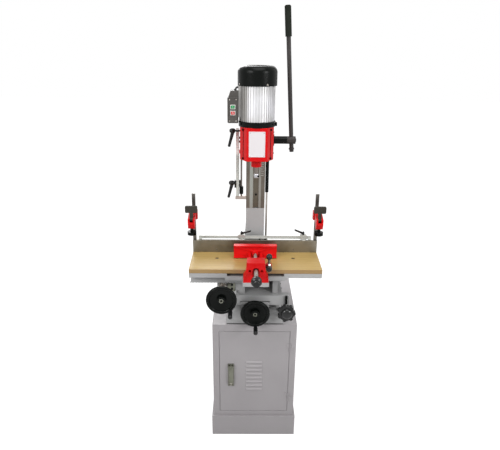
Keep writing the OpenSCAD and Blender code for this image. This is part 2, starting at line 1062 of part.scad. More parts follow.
// One straight-sided tooth that points along X from the pitch line, thinner than its gap
module tooth(m) {
    depth_shares = [-tooth_root_share, 0, tooth_tip_share];
    polygon([
        for (i = [0:2]) [depth_shares[i] * m, -tooth_half_shares[i] * m],
        for (i = [2:-1:0]) [depth_shares[i] * m, tooth_half_shares[i] * m]
    ]);
}

module gear_outline(m, teeth, turn) {
    circle(m * teeth / 2 - tooth_floor_share * m);
    for (i = [0:teeth - 1])
        rotate(turn + i * 360 / teeth)
        translate([m * teeth / 2, 0])
        tooth(m);
}

// Rack teeth along X from x0 to x1, in step with a tooth gap at the origin
module rack_teeth(m, x0, x1) {
    pitch = PI * m;
    for (i = [ceil(x0 / pitch):floor(x1 / pitch)])
        translate([i * pitch - pitch / 2, 0])
        rotate(90)
        tooth(m);
}

module table_pinion() {
    color(steel) {
        bar_y(
            shaft_r, table_wheel_y - hub_front - cut, -cheek_front + bracket_t + arm_boss_out,
            shaft_x, shaft_z
        );
        front_plate(gear_y0, gear_y1)
        translate([shaft_x, shaft_z])
        gear_outline(table_module, table_teeth, 90);
    }
}

module table_grip() {
    color(black)
    crank_grip(shaft_x, table_wheel_y, shaft_z, table_grip_angle);
}

// Table

module table_rack() {
    pitch_z = shaft_z + table_module * table_teeth / 2;
    root_z = pitch_z + tooth_floor_share * table_module;
    color(steel) {
        front_plate(gear_y0, gear_y1)
        translate([shaft_x, pitch_z])
        mirror([0, 1])
        rack_teeth(table_module, table_rack_x0 - shaft_x + table_module, table_rack_x1 - shaft_x);
        block([table_rack_x0, gear_y0, root_z], [table_rack_x1, gear_y1, slab_z0]);
        block([table_rack_x0, gear_y0, slab_z0], [-slab_w / 2, gear_y1, wing_z0]);
    }
}

module table_casting() {
    half = slab_w / 2;
    l = table_l / 2;
    color(cast_gray)
    difference() {
        union() {
            block([-half, -table_front, slab_z0], [half, -table_rear, slab_z1]);
            for (s = [-1, 1]) {
                block(
                    [min(s * half, s * (half - step_w)), -table_front, slab_z0],
                    [max(s * half, s * (half - step_w)), -table_rear, board_z0]
                );
                block(
                    [min(s * half, s * l), -table_front, wing_z0],
                    [max(s * half, s * l), -table_rear, board_z0]
                );
            }
            block([-half, fence_y, slab_z1 - cut], [half, -table_rear, board_z0]);
            block([-arm_w / 2, -arm_front, slab_z0], [arm_w / 2, -table_front, slab_z1]);
            block(
                [-carriage_l / 2, carriage_y0, deck_z1 + slide_gap],
                [carriage_l / 2, carriage_y1, slab_z0]
            );
        }
        side_plate(-carriage_l / 2 - cut, carriage_l / 2 + cut)
        polygon([
            [long_way_y0 + long_way_in - slide_gap, deck_z1 - cut],
            [long_way_y1 - long_way_in + slide_gap, deck_z1 - cut],
            [long_way_y1 - long_way_in + slide_gap, deck_z1],
            [long_way_y1 + slide_gap, deck_z1 + long_way_h + slide_gap],
            [long_way_y0 - slide_gap, deck_z1 + long_way_h + slide_gap],
            [long_way_y0 + long_way_in - slide_gap, deck_z1]
        ]);
    }
}

module table_board() {
    color(wood)
    difference() {
        block([-table_l / 2, -table_front, board_z0], [table_l / 2, fence_y - board_gap, board_z1]);
        for (x = [-board_hole_x, board_hole_x]) {
            bar_z(board_hole_r, board_z0 - cut, board_z1 + cut, x, board_hole_y);
            bar_z(board_sink_r, board_z1 - board_sink, board_z1 + cut, x, board_hole_y);
        }
    }
}

module fence() {
    l = table_l / 2;
    back = fence_y + fence_t;
    color(steel) {
        block([-l, fence_y, board_z0], [l, back, fence_z1]);
        block([-l, back - cut, board_z0], [l, back + fence_foot, board_z0 + fence_foot_t]);
        for (s = fence_rib_shares)
            side_plate(s * l - fence_rib_t / 2, s * l + fence_rib_t / 2)
            polygon([
                [back - cut, board_z0 + fence_foot_t - cut],
                [back + fence_foot, board_z0 + fence_foot_t - cut],
                [back - cut, board_z0 + fence_h / 2]
            ]);
    }
}

module ruler_bar() {
    half = ruler_l / 2;
    back = fence_y + fence_t;
    color("white") {
        block([-half, ruler_y, ruler_z0], [half, ruler_y + ruler_t, ruler_z0 + ruler_h]);
        for (x = [-half, half - ruler_foot_w])
            block([x, back, fence_z1 - ruler_foot_low], [x + ruler_foot_w, ruler_y + ruler_t, ruler_z0]);
    }
}

module clamp_posts() {
    color(steel)
    for (x = [-post_x, post_x])
        block([x - post_w / 2, post_y, post_z0], [x + post_w / 2, post_y + post_t, post_z1]);
}

// A slide that rides on the ruler, with a toe over the fence and a stud for its lever
module stop_block(x) {
    y0 = ruler_y - stop_wall;
    y1 = ruler_y + ruler_t + stop_wall;
    z0 = ruler_z0 - ruler_gap + slide_gap;
    color(bright) {
        difference() {
            block([x - stop_w / 2, y0, z0], [x + stop_w / 2, y1, ruler_z0 + ruler_h + stop_top]);
            block(
                [x - stop_w / 2 - cut, ruler_y - slide_gap, z0 - cut],
                [x + stop_w / 2 + cut, ruler_y + ruler_t + slide_gap, ruler_z0 + ruler_h + slide_gap]
            );
        }
        block([x - stop_toe_t, y0 - stop_toe, z0], [x + stop_toe_t, y0, z0 + stop_toe_t]);
        bar_z(
            stop_stud_r, ruler_z0 + ruler_h + stop_top, ruler_z0 + ruler_h + stop_top + stop_stud_h,
            x, ruler_y + ruler_t / 2
        );
    }
}

// A ratchet lever about +Z at the origin, its arm along +X and rising towards a round tip
module ratchet_lever() {
    end = lever_arm_l + lever_tip_r;
    cylinder(r = lever_hub_r, h = lever_hub_h);
    translate([0, 0, lever_hub_h])
    cylinder(r1 = lever_hub_r, r2 = lever_cap_r, h = lever_cap_h);
    intersection() {
        linear_extrude(lever_hub_h + lever_rise) {
            polygon([
                [0, -lever_root_r], [lever_arm_l / 2, -lever_neck_r], [lever_arm_l, -lever_tip_r],
                [lever_arm_l, lever_tip_r], [lever_arm_l / 2, lever_neck_r], [0, lever_root_r]
            ]);
            translate([lever_arm_l, 0])
            circle(lever_tip_r);
        }
        front_plate(-lever_root_r, lever_root_r)
        polygon([
            [0, lever_hub_h - lever_root_t], [end, lever_hub_h - lever_arm_t + lever_rise],
            [end, lever_hub_h + lever_rise], [0, lever_hub_h]
        ]);
    }
}

module stop_lever(x, angle) {
    color(black)
    translate([x, ruler_y + ruler_t / 2, ruler_z0 + ruler_h + stop_top])
    rotate([0, 0, angle])
    difference() {
        scale(small_lever_share)
        ratchet_lever();
        translate([0, 0, -cut])
        cylinder(r = stop_stud_r + run_gap, h = cut + stop_stud_h + slide_gap);
    }
}

module stop_block_left() {
    stop_block(stop_left_x);
}

module stop_lever_left() {
    stop_lever(stop_left_x, stop_left_angle);
}

module stop_block_right() {
    stop_block(stop_right_x);
}

module stop_lever_right() {
    stop_lever(stop_right_x, stop_right_angle);
}

// Hold-down clamps, drawn for the right side and mirrored for the left

module clamp_arm() {
    x0 = clamp_x - clamp_half_w;
    x1 = clamp_x + clamp_half_w;
    back = post_y + post_t + clamp_sleeve;
    front = clamp_y - clamp_nose;
    slot_floor = clamp_pin_z - clamp_eye_r - 2 * show_gap;
    color(red)
    difference() {
        union() {
            side_plate(x0, x1)
            polygon([
                [back, clamp_pin_z - clamp_seat], [back, clamp_pin_z + clamp_high],
                [post_y - clamp_sleeve, clamp_pin_z + clamp_high],
                [clamp_y + clamp_nose, clamp_pin_z + clamp_nose_top],
                [front, clamp_pin_z + clamp_nose_top / 3], [front, clamp_pin_z - clamp_seat],
                [clamp_y - clamp_nose / 2, clamp_pin_z - clamp_low],
                [clamp_y + clamp_nose / 2, clamp_pin_z - clamp_low],
                [clamp_y + clamp_nose, clamp_pin_z - clamp_seat]
            ]);
            block(
                [post_x - post_w / 2 - clamp_sleeve, post_y - clamp_sleeve, clamp_pin_z - clamp_seat],
                [x1, back, clamp_pin_z + clamp_high]
            );
        }
        block(
            [post_x - post_w / 2 - slide_gap, post_y - slide_gap, clamp_pin_z - clamp_low - cut],
            [post_x + post_w / 2 + slide_gap, post_y + post_t + slide_gap, clamp_pin_z + clamp_high + cut]
        );
        block(
            [clamp_x - clamp_slot / 2, front - cut, slot_floor],
            [clamp_x + clamp_slot / 2, clamp_y + clamp_eye_r + show_gap, clamp_pin_z + clamp_high + cut]
        );
        bar_x(clamp_pin_r + run_gap, x0 - cut, x1 + cut, clamp_y, clamp_pin_z);
        bar_z(
            clamp_spindle_r + run_gap, clamp_pin_z - clamp_low - cut, slot_floor + cut,
            clamp_x, clamp_y
        );
    }
}

module clamp_pad() {
    color(black) {
        bar_z(clamp_pad_r, clamp_pad_z, clamp_pad_z + clamp_pad_t, clamp_x, clamp_y);
        bar_z(
            clamp_spindle_r, clamp_pad_z + clamp_pad_t, clamp_pin_z - clamp_eye_r - 2 * slide_gap,
            clamp_x, clamp_y
        );
    }
}

module clamp_lever() {
    top = clamp_pin_z + paddle_rise + paddle_h;
    color(black) {
        bar_x(clamp_pin_r, clamp_x - clamp_half_w, clamp_x + clamp_half_w, clamp_y, clamp_pin_z);
        bar_x(clamp_eye_r, clamp_x - clamp_stem_w / 2, clamp_x + clamp_stem_w / 2, clamp_y, clamp_pin_z);
        block(
            [clamp_x - clamp_stem_w / 2, clamp_y - clamp_stem_t / 2, clamp_pin_z],
            [
                clamp_x + clamp_stem_w / 2, clamp_y + clamp_stem_t / 2,
                clamp_pin_z + paddle_rise + paddle_round
            ]
        );
        front_plate(clamp_y - paddle_t / 2, clamp_y + paddle_t / 2)
        round_rect(
            [clamp_x - paddle_w / 2, clamp_pin_z + paddle_rise],
            [clamp_x + paddle_w / 2, top], paddle_round
        );
    }
}

module clamp_arm_left() {
    mirror([1, 0, 0])
    clamp_arm();
}

module clamp_pad_left() {
    mirror([1, 0, 0])
    clamp_pad();
}

module clamp_lever_left() {
    mirror([1, 0, 0])
    clamp_lever();
}

module clamp_arm_right() {
    clamp_arm();
}

module clamp_pad_right() {
    clamp_pad();
}

module clamp_lever_right() {
    clamp_lever();
}

// Vise

module vise_body() {
    foot = vise_foot_w / 2;
    top = vise_top_w / 2;
    arch = vise_arch_w / 2;
    color(red)
    difference() {
        union() {
            front_plate(-vise_front, -vise_back)
            polygon([
                [-foot, vise_z0], [foot, vise_z0], [foot - slide_gap, vise_z0 + vise_knee / 2],
                [top + vise_knee / 6, vise_z0 + vise_knee], [top, vise_z1], [-top, vise_z1],
                [-top - vise_knee / 6, vise_z0 + vise_knee], [-foot + slide_gap, vise_z0 + vise_knee / 2]
            ]);
            bar_y(cam_boss_r, cam_y, -vise_back, cam_x, cam_z);
            block([0, cam_y, cam_z - cam_boss_r / 2], [cam_x, -vise_back, cam_z + cam_boss_r / 2]);
        }
        block(
            [-arch, -vise_front - cut, vise_z0 - cut],
            [arch, -vise_front + vise_arch_deep, vise_screw_z]
        );
        bar_y(arch, -vise_front - cut, -vise_front + vise_arch_deep, 0, vise_screw_z);
        bar_y(vise_screw_r + run_gap, -vise_front, -vise_back + cut, 0, vise_screw_z);
        for (x = [-vise_rod_x, vise_rod_x])
            bar_y(vise_rod_r + run_gap, -vise_front - cut, -vise_back + cut, x, vise_screw_z);
        bar_y(cam_stud_r + run_gap, cam_y - cut, -vise_back + cut, cam_x, cam_z);
        bar_y(
            cam_ring_r + show_gap, -vise_front - cut, cam_y,
            cam_x, cam_z
        );
    }
}

module vise_jaw() {
    half = jaw_w / 2;
    z1 = jaw_z0 + jaw_h;
    front = -jaw_front - jaw_rib_out;
    color(red)
    difference() {
        union() {
            block([-half, -jaw_front, jaw_z0], [half, -jaw_front + jaw_t, z1]);
            block([-half, front, z1 - jaw_rib_t], [half, -jaw_front, z1]);
            block([-half, front, jaw_z0], [half, -jaw_front, jaw_z0 + jaw_rib_t / 2]);
            for (s = [-1, 1])
                front_plate(front + jaw_rib_out / 2, -jaw_front)
                polygon([
                    [s * half * jaw_rib_shares[0], z1 - jaw_rib_t - jaw_rib_t * jaw_rib_shares[2]],
                    [s * half * jaw_rib_shares[0], z1],
                    [0, vise_screw_z + jaw_boss_r],
                    [0, vise_screw_z + jaw_boss_r * jaw_rib_shares[2]]
                ]);
            bar_y(jaw_boss_r, -jaw_front - jaw_boss_out, -jaw_front, 0, vise_screw_z);
            for (x = [-vise_rod_x, vise_rod_x])
                bar_y(vise_rod_r, -vise_rod_end, -jaw_front + cut, x, vise_screw_z);
        }
        bar_y(vise_tip_r + run_gap, -jaw_front - jaw_boss_out - cut, -jaw_front, 0, vise_screw_z);
    }
}

module vise_screw() {
    color(steel) {
        bar_y(vise_tip_r, -jaw_front - jaw_boss_out - slide_gap, -jaw_front - slide_gap, 0, vise_screw_z);
        threaded_rod_y(
            vise_screw_r, -vise_thread_front, -jaw_front - jaw_boss_out - slide_gap, 0, vise_screw_z
        );
    }
    color(black)
    translate([0, -vise_thread_front, vise_screw_z])
    rotate([90, 0, 0])
    rotate_extrude()
    polygon([
        [0, -cut], [vise_knob_neck, -cut], [vise_knob_r, vise_knob_len / 8],
        [vise_knob_r, vise_knob_len / 2 - vise_nose_r / 4],
        [vise_nose_r, vise_knob_len / 2 + vise_nose_r / 8],
        [vise_nose_r, vise_knob_len - vise_nose_r / 8],
        [vise_nose_r - vise_nose_r / 8, vise_knob_len], [0, vise_knob_len]
    ]);
}

module cam_lever() {
    color(black) {
        bar_y(cam_r, -cam_front, cam_y - slide_gap, cam_x, cam_z);
        bar_z(cam_arm_r, cam_z, cam_z + cam_arm_h, cam_x, cam_y - cam_r);
        translate([cam_x, cam_y - cam_r, cam_z + cam_arm_h])
        sphere(cam_ball_r);
    }
    color(bright) {
        bar_y(cam_ring_r, -cam_front + cam_ring_t, -cam_front + 2 * cam_ring_t, cam_x, cam_z);
        bar_y(cam_stud_r, cam_y - cut, -vise_back, cam_x, cam_z);
    }
}

// Column

module ways_outline(gap) {
    half = column_w / 2;
    polygon([
        [-half - gap, -column_front - gap], [half + gap, -column_front - gap],
        [half - dove_slope + gap, -column_front + dove_deep + gap],
        [-half + dove_slope - gap, -column_front + dove_deep + gap]
    ]);
}

module column_casting() {
    half = column_w / 2;
    neck = half - dove_slope;
    y_neck = -column_front + dove_deep;
    color(cast_gray)
    difference() {
        union() {
            block([-half, -column_front, column_z0], [half, column_rear, shoulder_z]);
            block([-half, y_neck + neck_deep, shoulder_z - cut], [half, column_rear, column_z1]);
            block([-neck, y_neck, shoulder_z - cut], [neck, y_neck + neck_deep, column_z1]);
            bar_y(boss_r - cut, column_rear - cut, upright_front - slide_gap, 0, pivot_z);
            block(
                [half - cut, gas_y - gas_r, gas_foot_z - gas_foot_t],
                [gas_x + gas_r, gas_y + gas_r, gas_foot_z]
            );
        }
        bar_y(pivot_r, column_rear - pivot_seat, upright_front, 0, pivot_z);
    }
}

module column_ways() {
    half = rack_w / 2 + slide_gap / 2;
    color(steel)
    difference() {
        translate([0, 0, shoulder_z])
        linear_extrude(column_z1 - shoulder_z)
        ways_outline(0);
        block(
            [channel_x0, -column_front - cut, shoulder_z - cut],
            [channel_x1, -column_front + channel_deep, column_z1 + cut]
        );
        block(
            [rack_x - half, -column_front - cut, pivot_z + rack_low - slide_gap],
            [rack_x + half, -column_front + rack_body + slide_gap, pivot_z + rack_high + slide_gap]
        );
    }
    color(bright)
    for (s = way_bolt_shares)
        bar_y(
            way_bolt_r, -column_front + channel_deep - way_bolt_h, -column_front + channel_deep,
            (channel_x0 + channel_x1) / 2, shoulder_z + s * (column_z1 - shoulder_z)
        );
}

module feed_rack() {
    root = -column_front + tooth_floor_share * feed_module;
    color(steel) {
        side_plate(rack_x - rack_w / 2, rack_x + rack_w / 2)
        translate([-column_front, feed_z])
        rotate(90)
        rack_teeth(
            feed_module, pivot_z + rack_low - feed_z + 2 * feed_module,
            pivot_z + rack_high - feed_z - feed_module
        );
        block(
            [rack_x - rack_w / 2, root, pivot_z + rack_low],
            [rack_x + rack_w / 2, -column_front + rack_body, pivot_z + rack_high]
        );
    }
}

module pivot_shaft() {
    color(steel) {
        bar_y(pivot_r, column_rear - pivot_seat, base_rear + pivot_nut_t, 0, pivot_z);
        bar_y(pivot_nut_r, base_rear + slide_gap, base_rear + pivot_nut_t, 0, pivot_z);
    }
}

module depth_rod() {
    color(steel) {
        block(
            [depth_foot_x0, depth_foot_y0, depth_z0],
            [-column_w / 2, depth_foot_y1, depth_z0 + depth_foot_t]
        );
        bar_z(rod_r, depth_z0, rod_z1, rod_x, rod_y);
    }
}

module scale_bar() {
    color("white")
    block([scale_x0, scale_y, depth_z0 + depth_foot_t], [scale_x0 + scale_w, scale_y + scale_t, scale_z1]);
}

module depth_stop() {
    back = scale_y + scale_t + slide_gap;
    z1 = stop_block_z0 + stop_block_h;
    color(black)
    difference() {
        union() {
            bar_z(nut_r, nut_z0, nut_z0 + nut_h, rod_x, rod_y);
            block([stop_block_x0, back, stop_block_z0], [rod_x, stop_block_y1, z1]);
            block([stop_block_x0, stop_block_y0, stop_block_z0], [scale_x0 - slide_gap, stop_block_y1, z1]);
        }
        bar_z(rod_r + run_gap, nut_z0 - cut, z1 + cut, rod_x, rod_y);
        bar_x(
            depth_lever_r + run_gap, stop_block_x0 - cut, scale_x0,
            (stop_block_y0 + stop_block_y1) / 2, depth_lever_z
        );
    }
}

// A ratchet lever whose stud runs along +X and whose arm hangs down
module side_lever(x, y, z, stud_r, stud_l) {
    translate([x, y, z])
    rotate([0, -90, 0]) {
        mirror([1, 0, 0])
        ratchet_lever();
        translate([0, 0, -stud_l])
        cylinder(r = stud_r, h = stud_l + lever_hub_r);
    }
}

module depth_lever() {
    color(black)
    side_lever(
        stop_block_x0 - slide_gap, (stop_block_y0 + stop_block_y1) / 2, depth_lever_z,
        depth_lever_r, stop_block_wrap
    );
}

module gas_rod() {
    color(bright) {
        bar_z(gas_rod_r, gas_foot_z, gas_z0 + gas_cap_t + slide_gap, gas_x, gas_y);
        bar_z(
            gas_r - gas_wall - slide_gap, gas_z0 + gas_cap_t + slide_gap, gas_z0 + gas_cap_t + gas_piston_h,
            gas_x, gas_y
        );
    }
}

module gas_cylinder() {
    color(black) {
        difference() {
            bar_z(gas_r, gas_z0, gas_z1, gas_x, gas_y);
            bar_z(gas_r - gas_wall, gas_z0 + gas_cap_t, gas_z1 - gas_cap_t, gas_x, gas_y);
            bar_z(gas_rod_r + run_gap, gas_z0 - cut, gas_z0 + gas_cap_t + cut, gas_x, gas_y);
        }
        bar_z(gas_stud_r, gas_z1, head_z0, gas_x, gas_y);
    }
}

// Head

module head_outline() {
    half = head_w / 2;
    polygon([
        [-half, head_rear], [-half, -facet_y], [-facet_w / 2, -head_front],
        [facet_w / 2, -head_front], [half, -facet_y], [half, head_rear]
    ]);
}

// A narrow groove down the middle of each angled facet
module facet_groove(side) {
    half = head_w / 2;
    mid = [side * (half + facet_w / 2) / 2, -(head_front + facet_y) / 2];
    turn = atan2(head_front - facet_y, half - facet_w / 2);
    translate([mid[0], mid[1], head_z0 - cut])
    rotate([0, 0, side * turn])
    translate([-groove_w / 2, -groove_deep, 0])
    cube([groove_w, 2 * groove_deep, head_h + 2 * cut]);
}

module head_casting() {
    half = head_w / 2;
    rear = -column_front - slide_gap;
    rack_half = rack_w / 2 + show_gap;
    tip = feed_pitch_r + tooth_tip_share * feed_module + show_gap;
    color(red)
    difference() {
        union() {
            difference() {
                translate([0, 0, head_z0])
                linear_extrude(head_h)
                head_outline();
                translate([0, 0, head_z0 - cut])
                linear_extrude(head_h + 2 * cut)
                ways_outline(slide_gap);
                block(
                    [-column_w / 2 + dove_slope - slide_gap, -column_front + dove_deep, head_z0 - cut],
                    [column_w / 2 - dove_slope + slide_gap, head_rear + cut, head_z1 + cut]
                );
                block(
                    [-half + head_wall, -head_front + 2 * head_wall, head_z0 + head_wall],
                    [half - head_wall, -cavity_rear, head_z1 - head_wall]
                );
                block(
                    [rack_x - rack_half, -cavity_rear - cut, feed_z - tip],
                    [rack_x + rack_half, rear + cut, feed_z + tip]
                );
                block(
                    [rack_x - rack_half, rear - tooth_tip_share * feed_module, head_z0 - cut],
                    [rack_x + rack_half, rear + cut, head_z1 + cut]
                );
                block(
                    [-half - cut, rod_groove_y0, head_z0 + lug_t],
                    [-half + rod_groove_w, rod_groove_y1, head_z1 + cut]
                );
                for (s = [-1, 1])
                    facet_groove(s);
            }
            bar_z(collar_r, head_z0 - collar_h, head_z0 + cut, 0, -chisel_y);
            block([lug_x0, rod_groove_y0, head_z0], [-half + cut, rod_groove_y1, head_z0 + lug_t]);
        }
        bar_z(bush_r, head_z0 - collar_h - cut, head_z0 + head_wall + cut, 0, -chisel_y);
        bar_z(lug_hole_r, head_z0 - cut, head_z0 + lug_t + cut, rod_x, rod_y);
        bar_z(bearing_r, head_z1 - head_wall - cut, head_z1 + cut, 0, -chisel_y);
        bar_x(feed_shaft_r + run_gap, half - head_wall - cut, half + cut, feed_y, feed_z);
        bar_x(head_lever_r + run_gap, -half - cut, -half + head_wall, head_lever_y, head_lever_z);
    }
}

module chisel_bush() {
    color(bright)
    difference() {
        union() {
            bar_z(bush_r, head_z0 + head_wall - bush_low, head_z0 + head_wall, 0, -chisel_y);
            bar_z(bush_flange_r, head_z0 + head_wall, head_z0 + head_wall + bush_flange_t, 0, -chisel_y);
        }
        bar_z(
            chisel_bore_r, head_z0 + head_wall - bush_low - cut, head_z0 + head_wall + bush_flange_t + cut,
            0, -chisel_y
        );
    }
}

module head_lever() {
    color(black)
    side_lever(
        head_lever_x, head_lever_y, head_lever_z, head_lever_r, head_lever_out + head_wall - slide_gap
    );
}

module feed_hub() {
    half = head_w / 2;
    color(black)
    difference() {
        union() {
            bar_x(hub_tube_r, half, hub_fixed_x, feed_y, feed_z);
            bar_x(hub_flange_r, half, half + hub_flange_t, feed_y, feed_z);
        }
        bar_x(feed_shaft_r + run_gap, half - cut, hub_fixed_x + cut, feed_y, feed_z);
    }
}

module feed_pinion() {
    color(steel) {
        bar_x(feed_shaft_r, rack_x - rack_w / 2 - cut, hub_fixed_x + slide_gap, feed_y, feed_z);
        side_plate(rack_x - rack_w / 2, rack_x + rack_w / 2)
        translate([feed_y, feed_z])
        gear_outline(feed_module, feed_teeth, 0);
    }
}

// The lever leans inwards by a few degrees as it rises
module lever_frame() {
    translate([lever_x, feed_y, feed_z])
    rotate([0, -lever_lean, 0])
    children();
}

module feed_lever() {
    color(black) {
        bar_x(hub_tube_r, hub_fixed_x + slide_gap, hub_end_x, feed_y, feed_z);
        lever_frame() {
            translate([0, 0, -lever_stub])
            cylinder(r = lever_r, h = lever_stub + lever_len - lever_grip_cap);
            translate([0, 0, -lever_stub + 2 * stub_t])
            cylinder(r = stub_r, h = stub_t);
        }
    }
}

module lever_grip() {
    color(black)
    lever_frame()
    difference() {
        union() {
            translate([0, 0, lever_len - lever_grip_len])
            cylinder(r = lever_grip_r, h = lever_grip_len - lever_grip_cap);
            translate([0, 0, lever_len - lever_grip_cap])
            cylinder(r1 = lever_grip_r, r2 = lever_grip_r - lever_grip_cap, h = lever_grip_cap);
        }
        translate([0, 0, lever_len - lever_grip_len - cut])
        cylinder(r = lever_r, h = lever_grip_len - lever_grip_cap + cut);
    }
}

// Motor

module motor_flange() {
    color(black)
    difference() {
        union() {
            bar_z(flange_r, head_z1, flange_z, 0, -chisel_y);
            block(
                [0, -chisel_y - flange_ear_w / 2, head_z1],
                [flange_r + flange_ear / 2, -chisel_y + flange_ear_w / 2, flange_z - flange_h / 3]
            );
        }
        bar_z(spindle_r + run_gap, head_z1 - cut, flange_z + cut, 0, -chisel_y);
    }
}

module motor_body() {
    root = motor_r - fin_deep;
    color("silver")
    difference() {
        union() {
            translate([0, -chisel_y, flange_z])
            linear_extrude(motor_h) {
                circle(root);
                for (i = [0:fin_count - 1])
                    rotate(i * 360 / fin_count)
                    translate([root - cut, -fin_t / 2])
                    square([fin_deep + cut, fin_t]);
            }
            block(
                [pad_x, -chisel_y - pad_w / 2, flange_z + pad_low],
                [-motor_bore_r - head_wall, -chisel_y + pad_w / 2, cap_z]
            );
        }
        bar_z(motor_bore_r, flange_z - cut, cap_z + cut, 0, -chisel_y);
    }
}

module cap_outline(r, h, round) {
    square([r - round, h]);
    square([r, h - round]);
    translate([r - round, h - round])
    circle(round);
}

module motor_cap() {
    color(black)
    translate([0, -chisel_y, cap_z])
    difference() {
        rotate_extrude()
        intersection() {
            cap_outline(cap_r, cap_h, cap_round);
            square([cap_r, cap_h]);
        }
        translate([0, 0, -cut])
        cylinder(r = motor_r - 2 * fin_deep, h = cap_h - cap_round);
        rotate_extrude()
        square([motor_r - 2 * fin_deep - cap_round / 3, cap_h - 2 * cap_wall]);
    }
}

module spindle() {
    z0 = head_z0 + head_wall + bush_flange_t + chuck_gap;
    color(steel)
    translate([0, -chisel_y, 0]) {
        translate([0, 0, z0])
        cylinder(r = spindle_r, h = cap_z + fan_h + chuck_gap - z0);
        translate([0, 0, z0 + chuck_gap])
        cylinder(r = chuck_r - slide_gap, h = chuck_h);
        translate([0, 0, flange_z + (motor_h - rotor_h) / 2])
        cylinder(r = rotor_r, h = rotor_h);
        translate([0, 0, cap_z + chuck_gap / 2]) {
            cylinder(r = chuck_r, h = fan_h);
            for (i = [0:fan_blades - 1])
                rotate(i * 360 / fan_blades)
                translate([chuck_r - cut, -fan_t / 2, 0])
                cube([fan_r - chuck_r + cut, fan_t, fan_h]);
        }
    }
}

// Switch box

module switch_box() {
    x1 = pad_x;
    x0 = pad_x - switch_w;
    mid = switch_z0 + switch_h - switch_neck_h;
    color("#3a3b3d")
    difference() {
        union() {
            front_plate(switch_y0, switch_y0 + switch_d)
            round_rect([x0, switch_z0], [x1, mid], switch_round);
            block([x1 - switch_w / 2, switch_y0, switch_z0], [x1, switch_y0 + switch_d, mid]);
            front_plate(switch_y0 + switch_round, switch_y0 + switch_d)
            polygon([
                [x0 + switch_round, mid - cut], [x1, mid - cut], [x1, switch_z0 + switch_h],
                [x1 - switch_neck_w, switch_z0 + switch_h], [x0 + switch_round, mid + switch_round]
            ]);
        }
        for (z = [start_z, stop_z])
            block(
                [button_x - button_w / 2 - slide_gap, switch_y0 - cut, z - button_h / 2 - slide_gap],
                [
                    button_x + button_w / 2 + slide_gap,
                    switch_y0 + button_in + button_stroke + slide_gap,
                    z + button_h / 2 + slide_gap
                ]
            );
    }
}

module push_button(z) {
    block(
        [button_x - button_w / 2, switch_y0 - button_out, z - button_h / 2],
        [button_x + button_w / 2, switch_y0 + button_in, z + button_h / 2]
    );
}

module start_button() {
    color("green")
    push_button(start_z);
}

module stop_button() {
    color("red")
    push_button(stop_z);
}

// Two leads that rise from the box and bend into the motor
module switch_leads() {
    top = switch_z0 + switch_h;
    color(black)
    for (s = [-1, 1])
        translate([pad_x, -chisel_y + s * lead_spread, top]) {
            rotate([90, 0, 0])
            rotate([0, 0, 90])
            rotate_extrude(angle = 90)
            translate([lead_bend, 0])
            circle(lead_r);
        }
}

cabinet_shell();
cabinet_plinth();
base_casting();
base_bolts();
cabinet_door();
latch_plate();
latch_handle();
saddle();
lock_knob();
cross_wheel();
cross_screw();
cross_grip();
table_wheel();
table_pinion();
table_grip();
table_casting();
table_rack();
table_board();
fence();
ruler_bar();
clamp_posts();
vise_body();
stop_block_left();
stop_lever_left();
stop_block_right();
stop_lever_right();
clamp_arm_left();
clamp_pad_left();
clamp_lever_left();
clamp_arm_right();
clamp_pad_right();
clamp_lever_right();
vise_jaw();
vise_screw();
cam_lever();
column_casting();
column_ways();
feed_rack();
pivot_shaft();
depth_rod();
scale_bar();
gas_rod();
depth_stop();
depth_lever();
head_casting();
motor_flange();
motor_body();
motor_cap();
switch_box();
switch_leads();
feed_hub();
gas_cylinder();
chisel_bush();
start_button();
stop_button();
feed_pinion();
feed_lever();
lever_grip();
head_lever();
spindle();
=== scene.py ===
# %% [markdown]
# # A tilting mortiser on its steel cabinet
# The machine cuts square holes: a chisel hangs under the red head, the motor on top turns the bit inside it,
# and the table below moves the wood. Its solids come from a CAD model and stay as they are. Blender adds the
# paint, the metal and the small fittings. Places are in metres.

# %% Load the machine's solids
import math

import bmesh
import bpy
from mathutils import Matrix, Vector


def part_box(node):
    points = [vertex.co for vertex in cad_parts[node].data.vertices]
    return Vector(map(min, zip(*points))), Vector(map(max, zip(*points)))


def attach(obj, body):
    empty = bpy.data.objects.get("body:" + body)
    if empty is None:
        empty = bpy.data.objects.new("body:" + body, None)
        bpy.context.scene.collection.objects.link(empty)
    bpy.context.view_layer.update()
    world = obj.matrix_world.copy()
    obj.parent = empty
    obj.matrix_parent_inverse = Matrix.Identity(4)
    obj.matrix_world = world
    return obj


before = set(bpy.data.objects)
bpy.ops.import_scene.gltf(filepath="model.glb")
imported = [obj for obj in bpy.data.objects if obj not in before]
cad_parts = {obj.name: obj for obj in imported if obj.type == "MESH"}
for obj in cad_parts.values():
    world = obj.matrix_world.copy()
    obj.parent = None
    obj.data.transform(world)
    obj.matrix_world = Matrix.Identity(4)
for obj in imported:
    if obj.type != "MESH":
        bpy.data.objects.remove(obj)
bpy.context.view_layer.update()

# %% [markdown]
# ## Where things are
# Small parts are sized in millimetres and placed from the solid that carries them. So the script names the
# millimetre, the six limits of a solid's box and the directions on the machine.

# %% Name the limits and the directions
mm = 0.001
low_x, front_y, low_z, high_x, back_y, high_z = range(6)
left, right = Vector((-1, 0, 0)), Vector((1, 0, 0))
front, back = Vector((0, -1, 0)), Vector((0, 1, 0))
up = Vector((0, 0, 1))


def limits(node):
    """The six limits of a solid: its low x, front y, low z, high x, back y and high z"""
    low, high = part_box(node)
    return (*low, *high)


def middle(node):
    """The middle of a solid's box"""
    low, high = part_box(node)
    return (Vector(low) + Vector(high)) / 2


def side_middle(node, side):
    """The middle of one side of a solid's box; side is one of the six limits"""
    spot = middle(node)
    spot[side % 3] = limits(node)[side]
    return spot


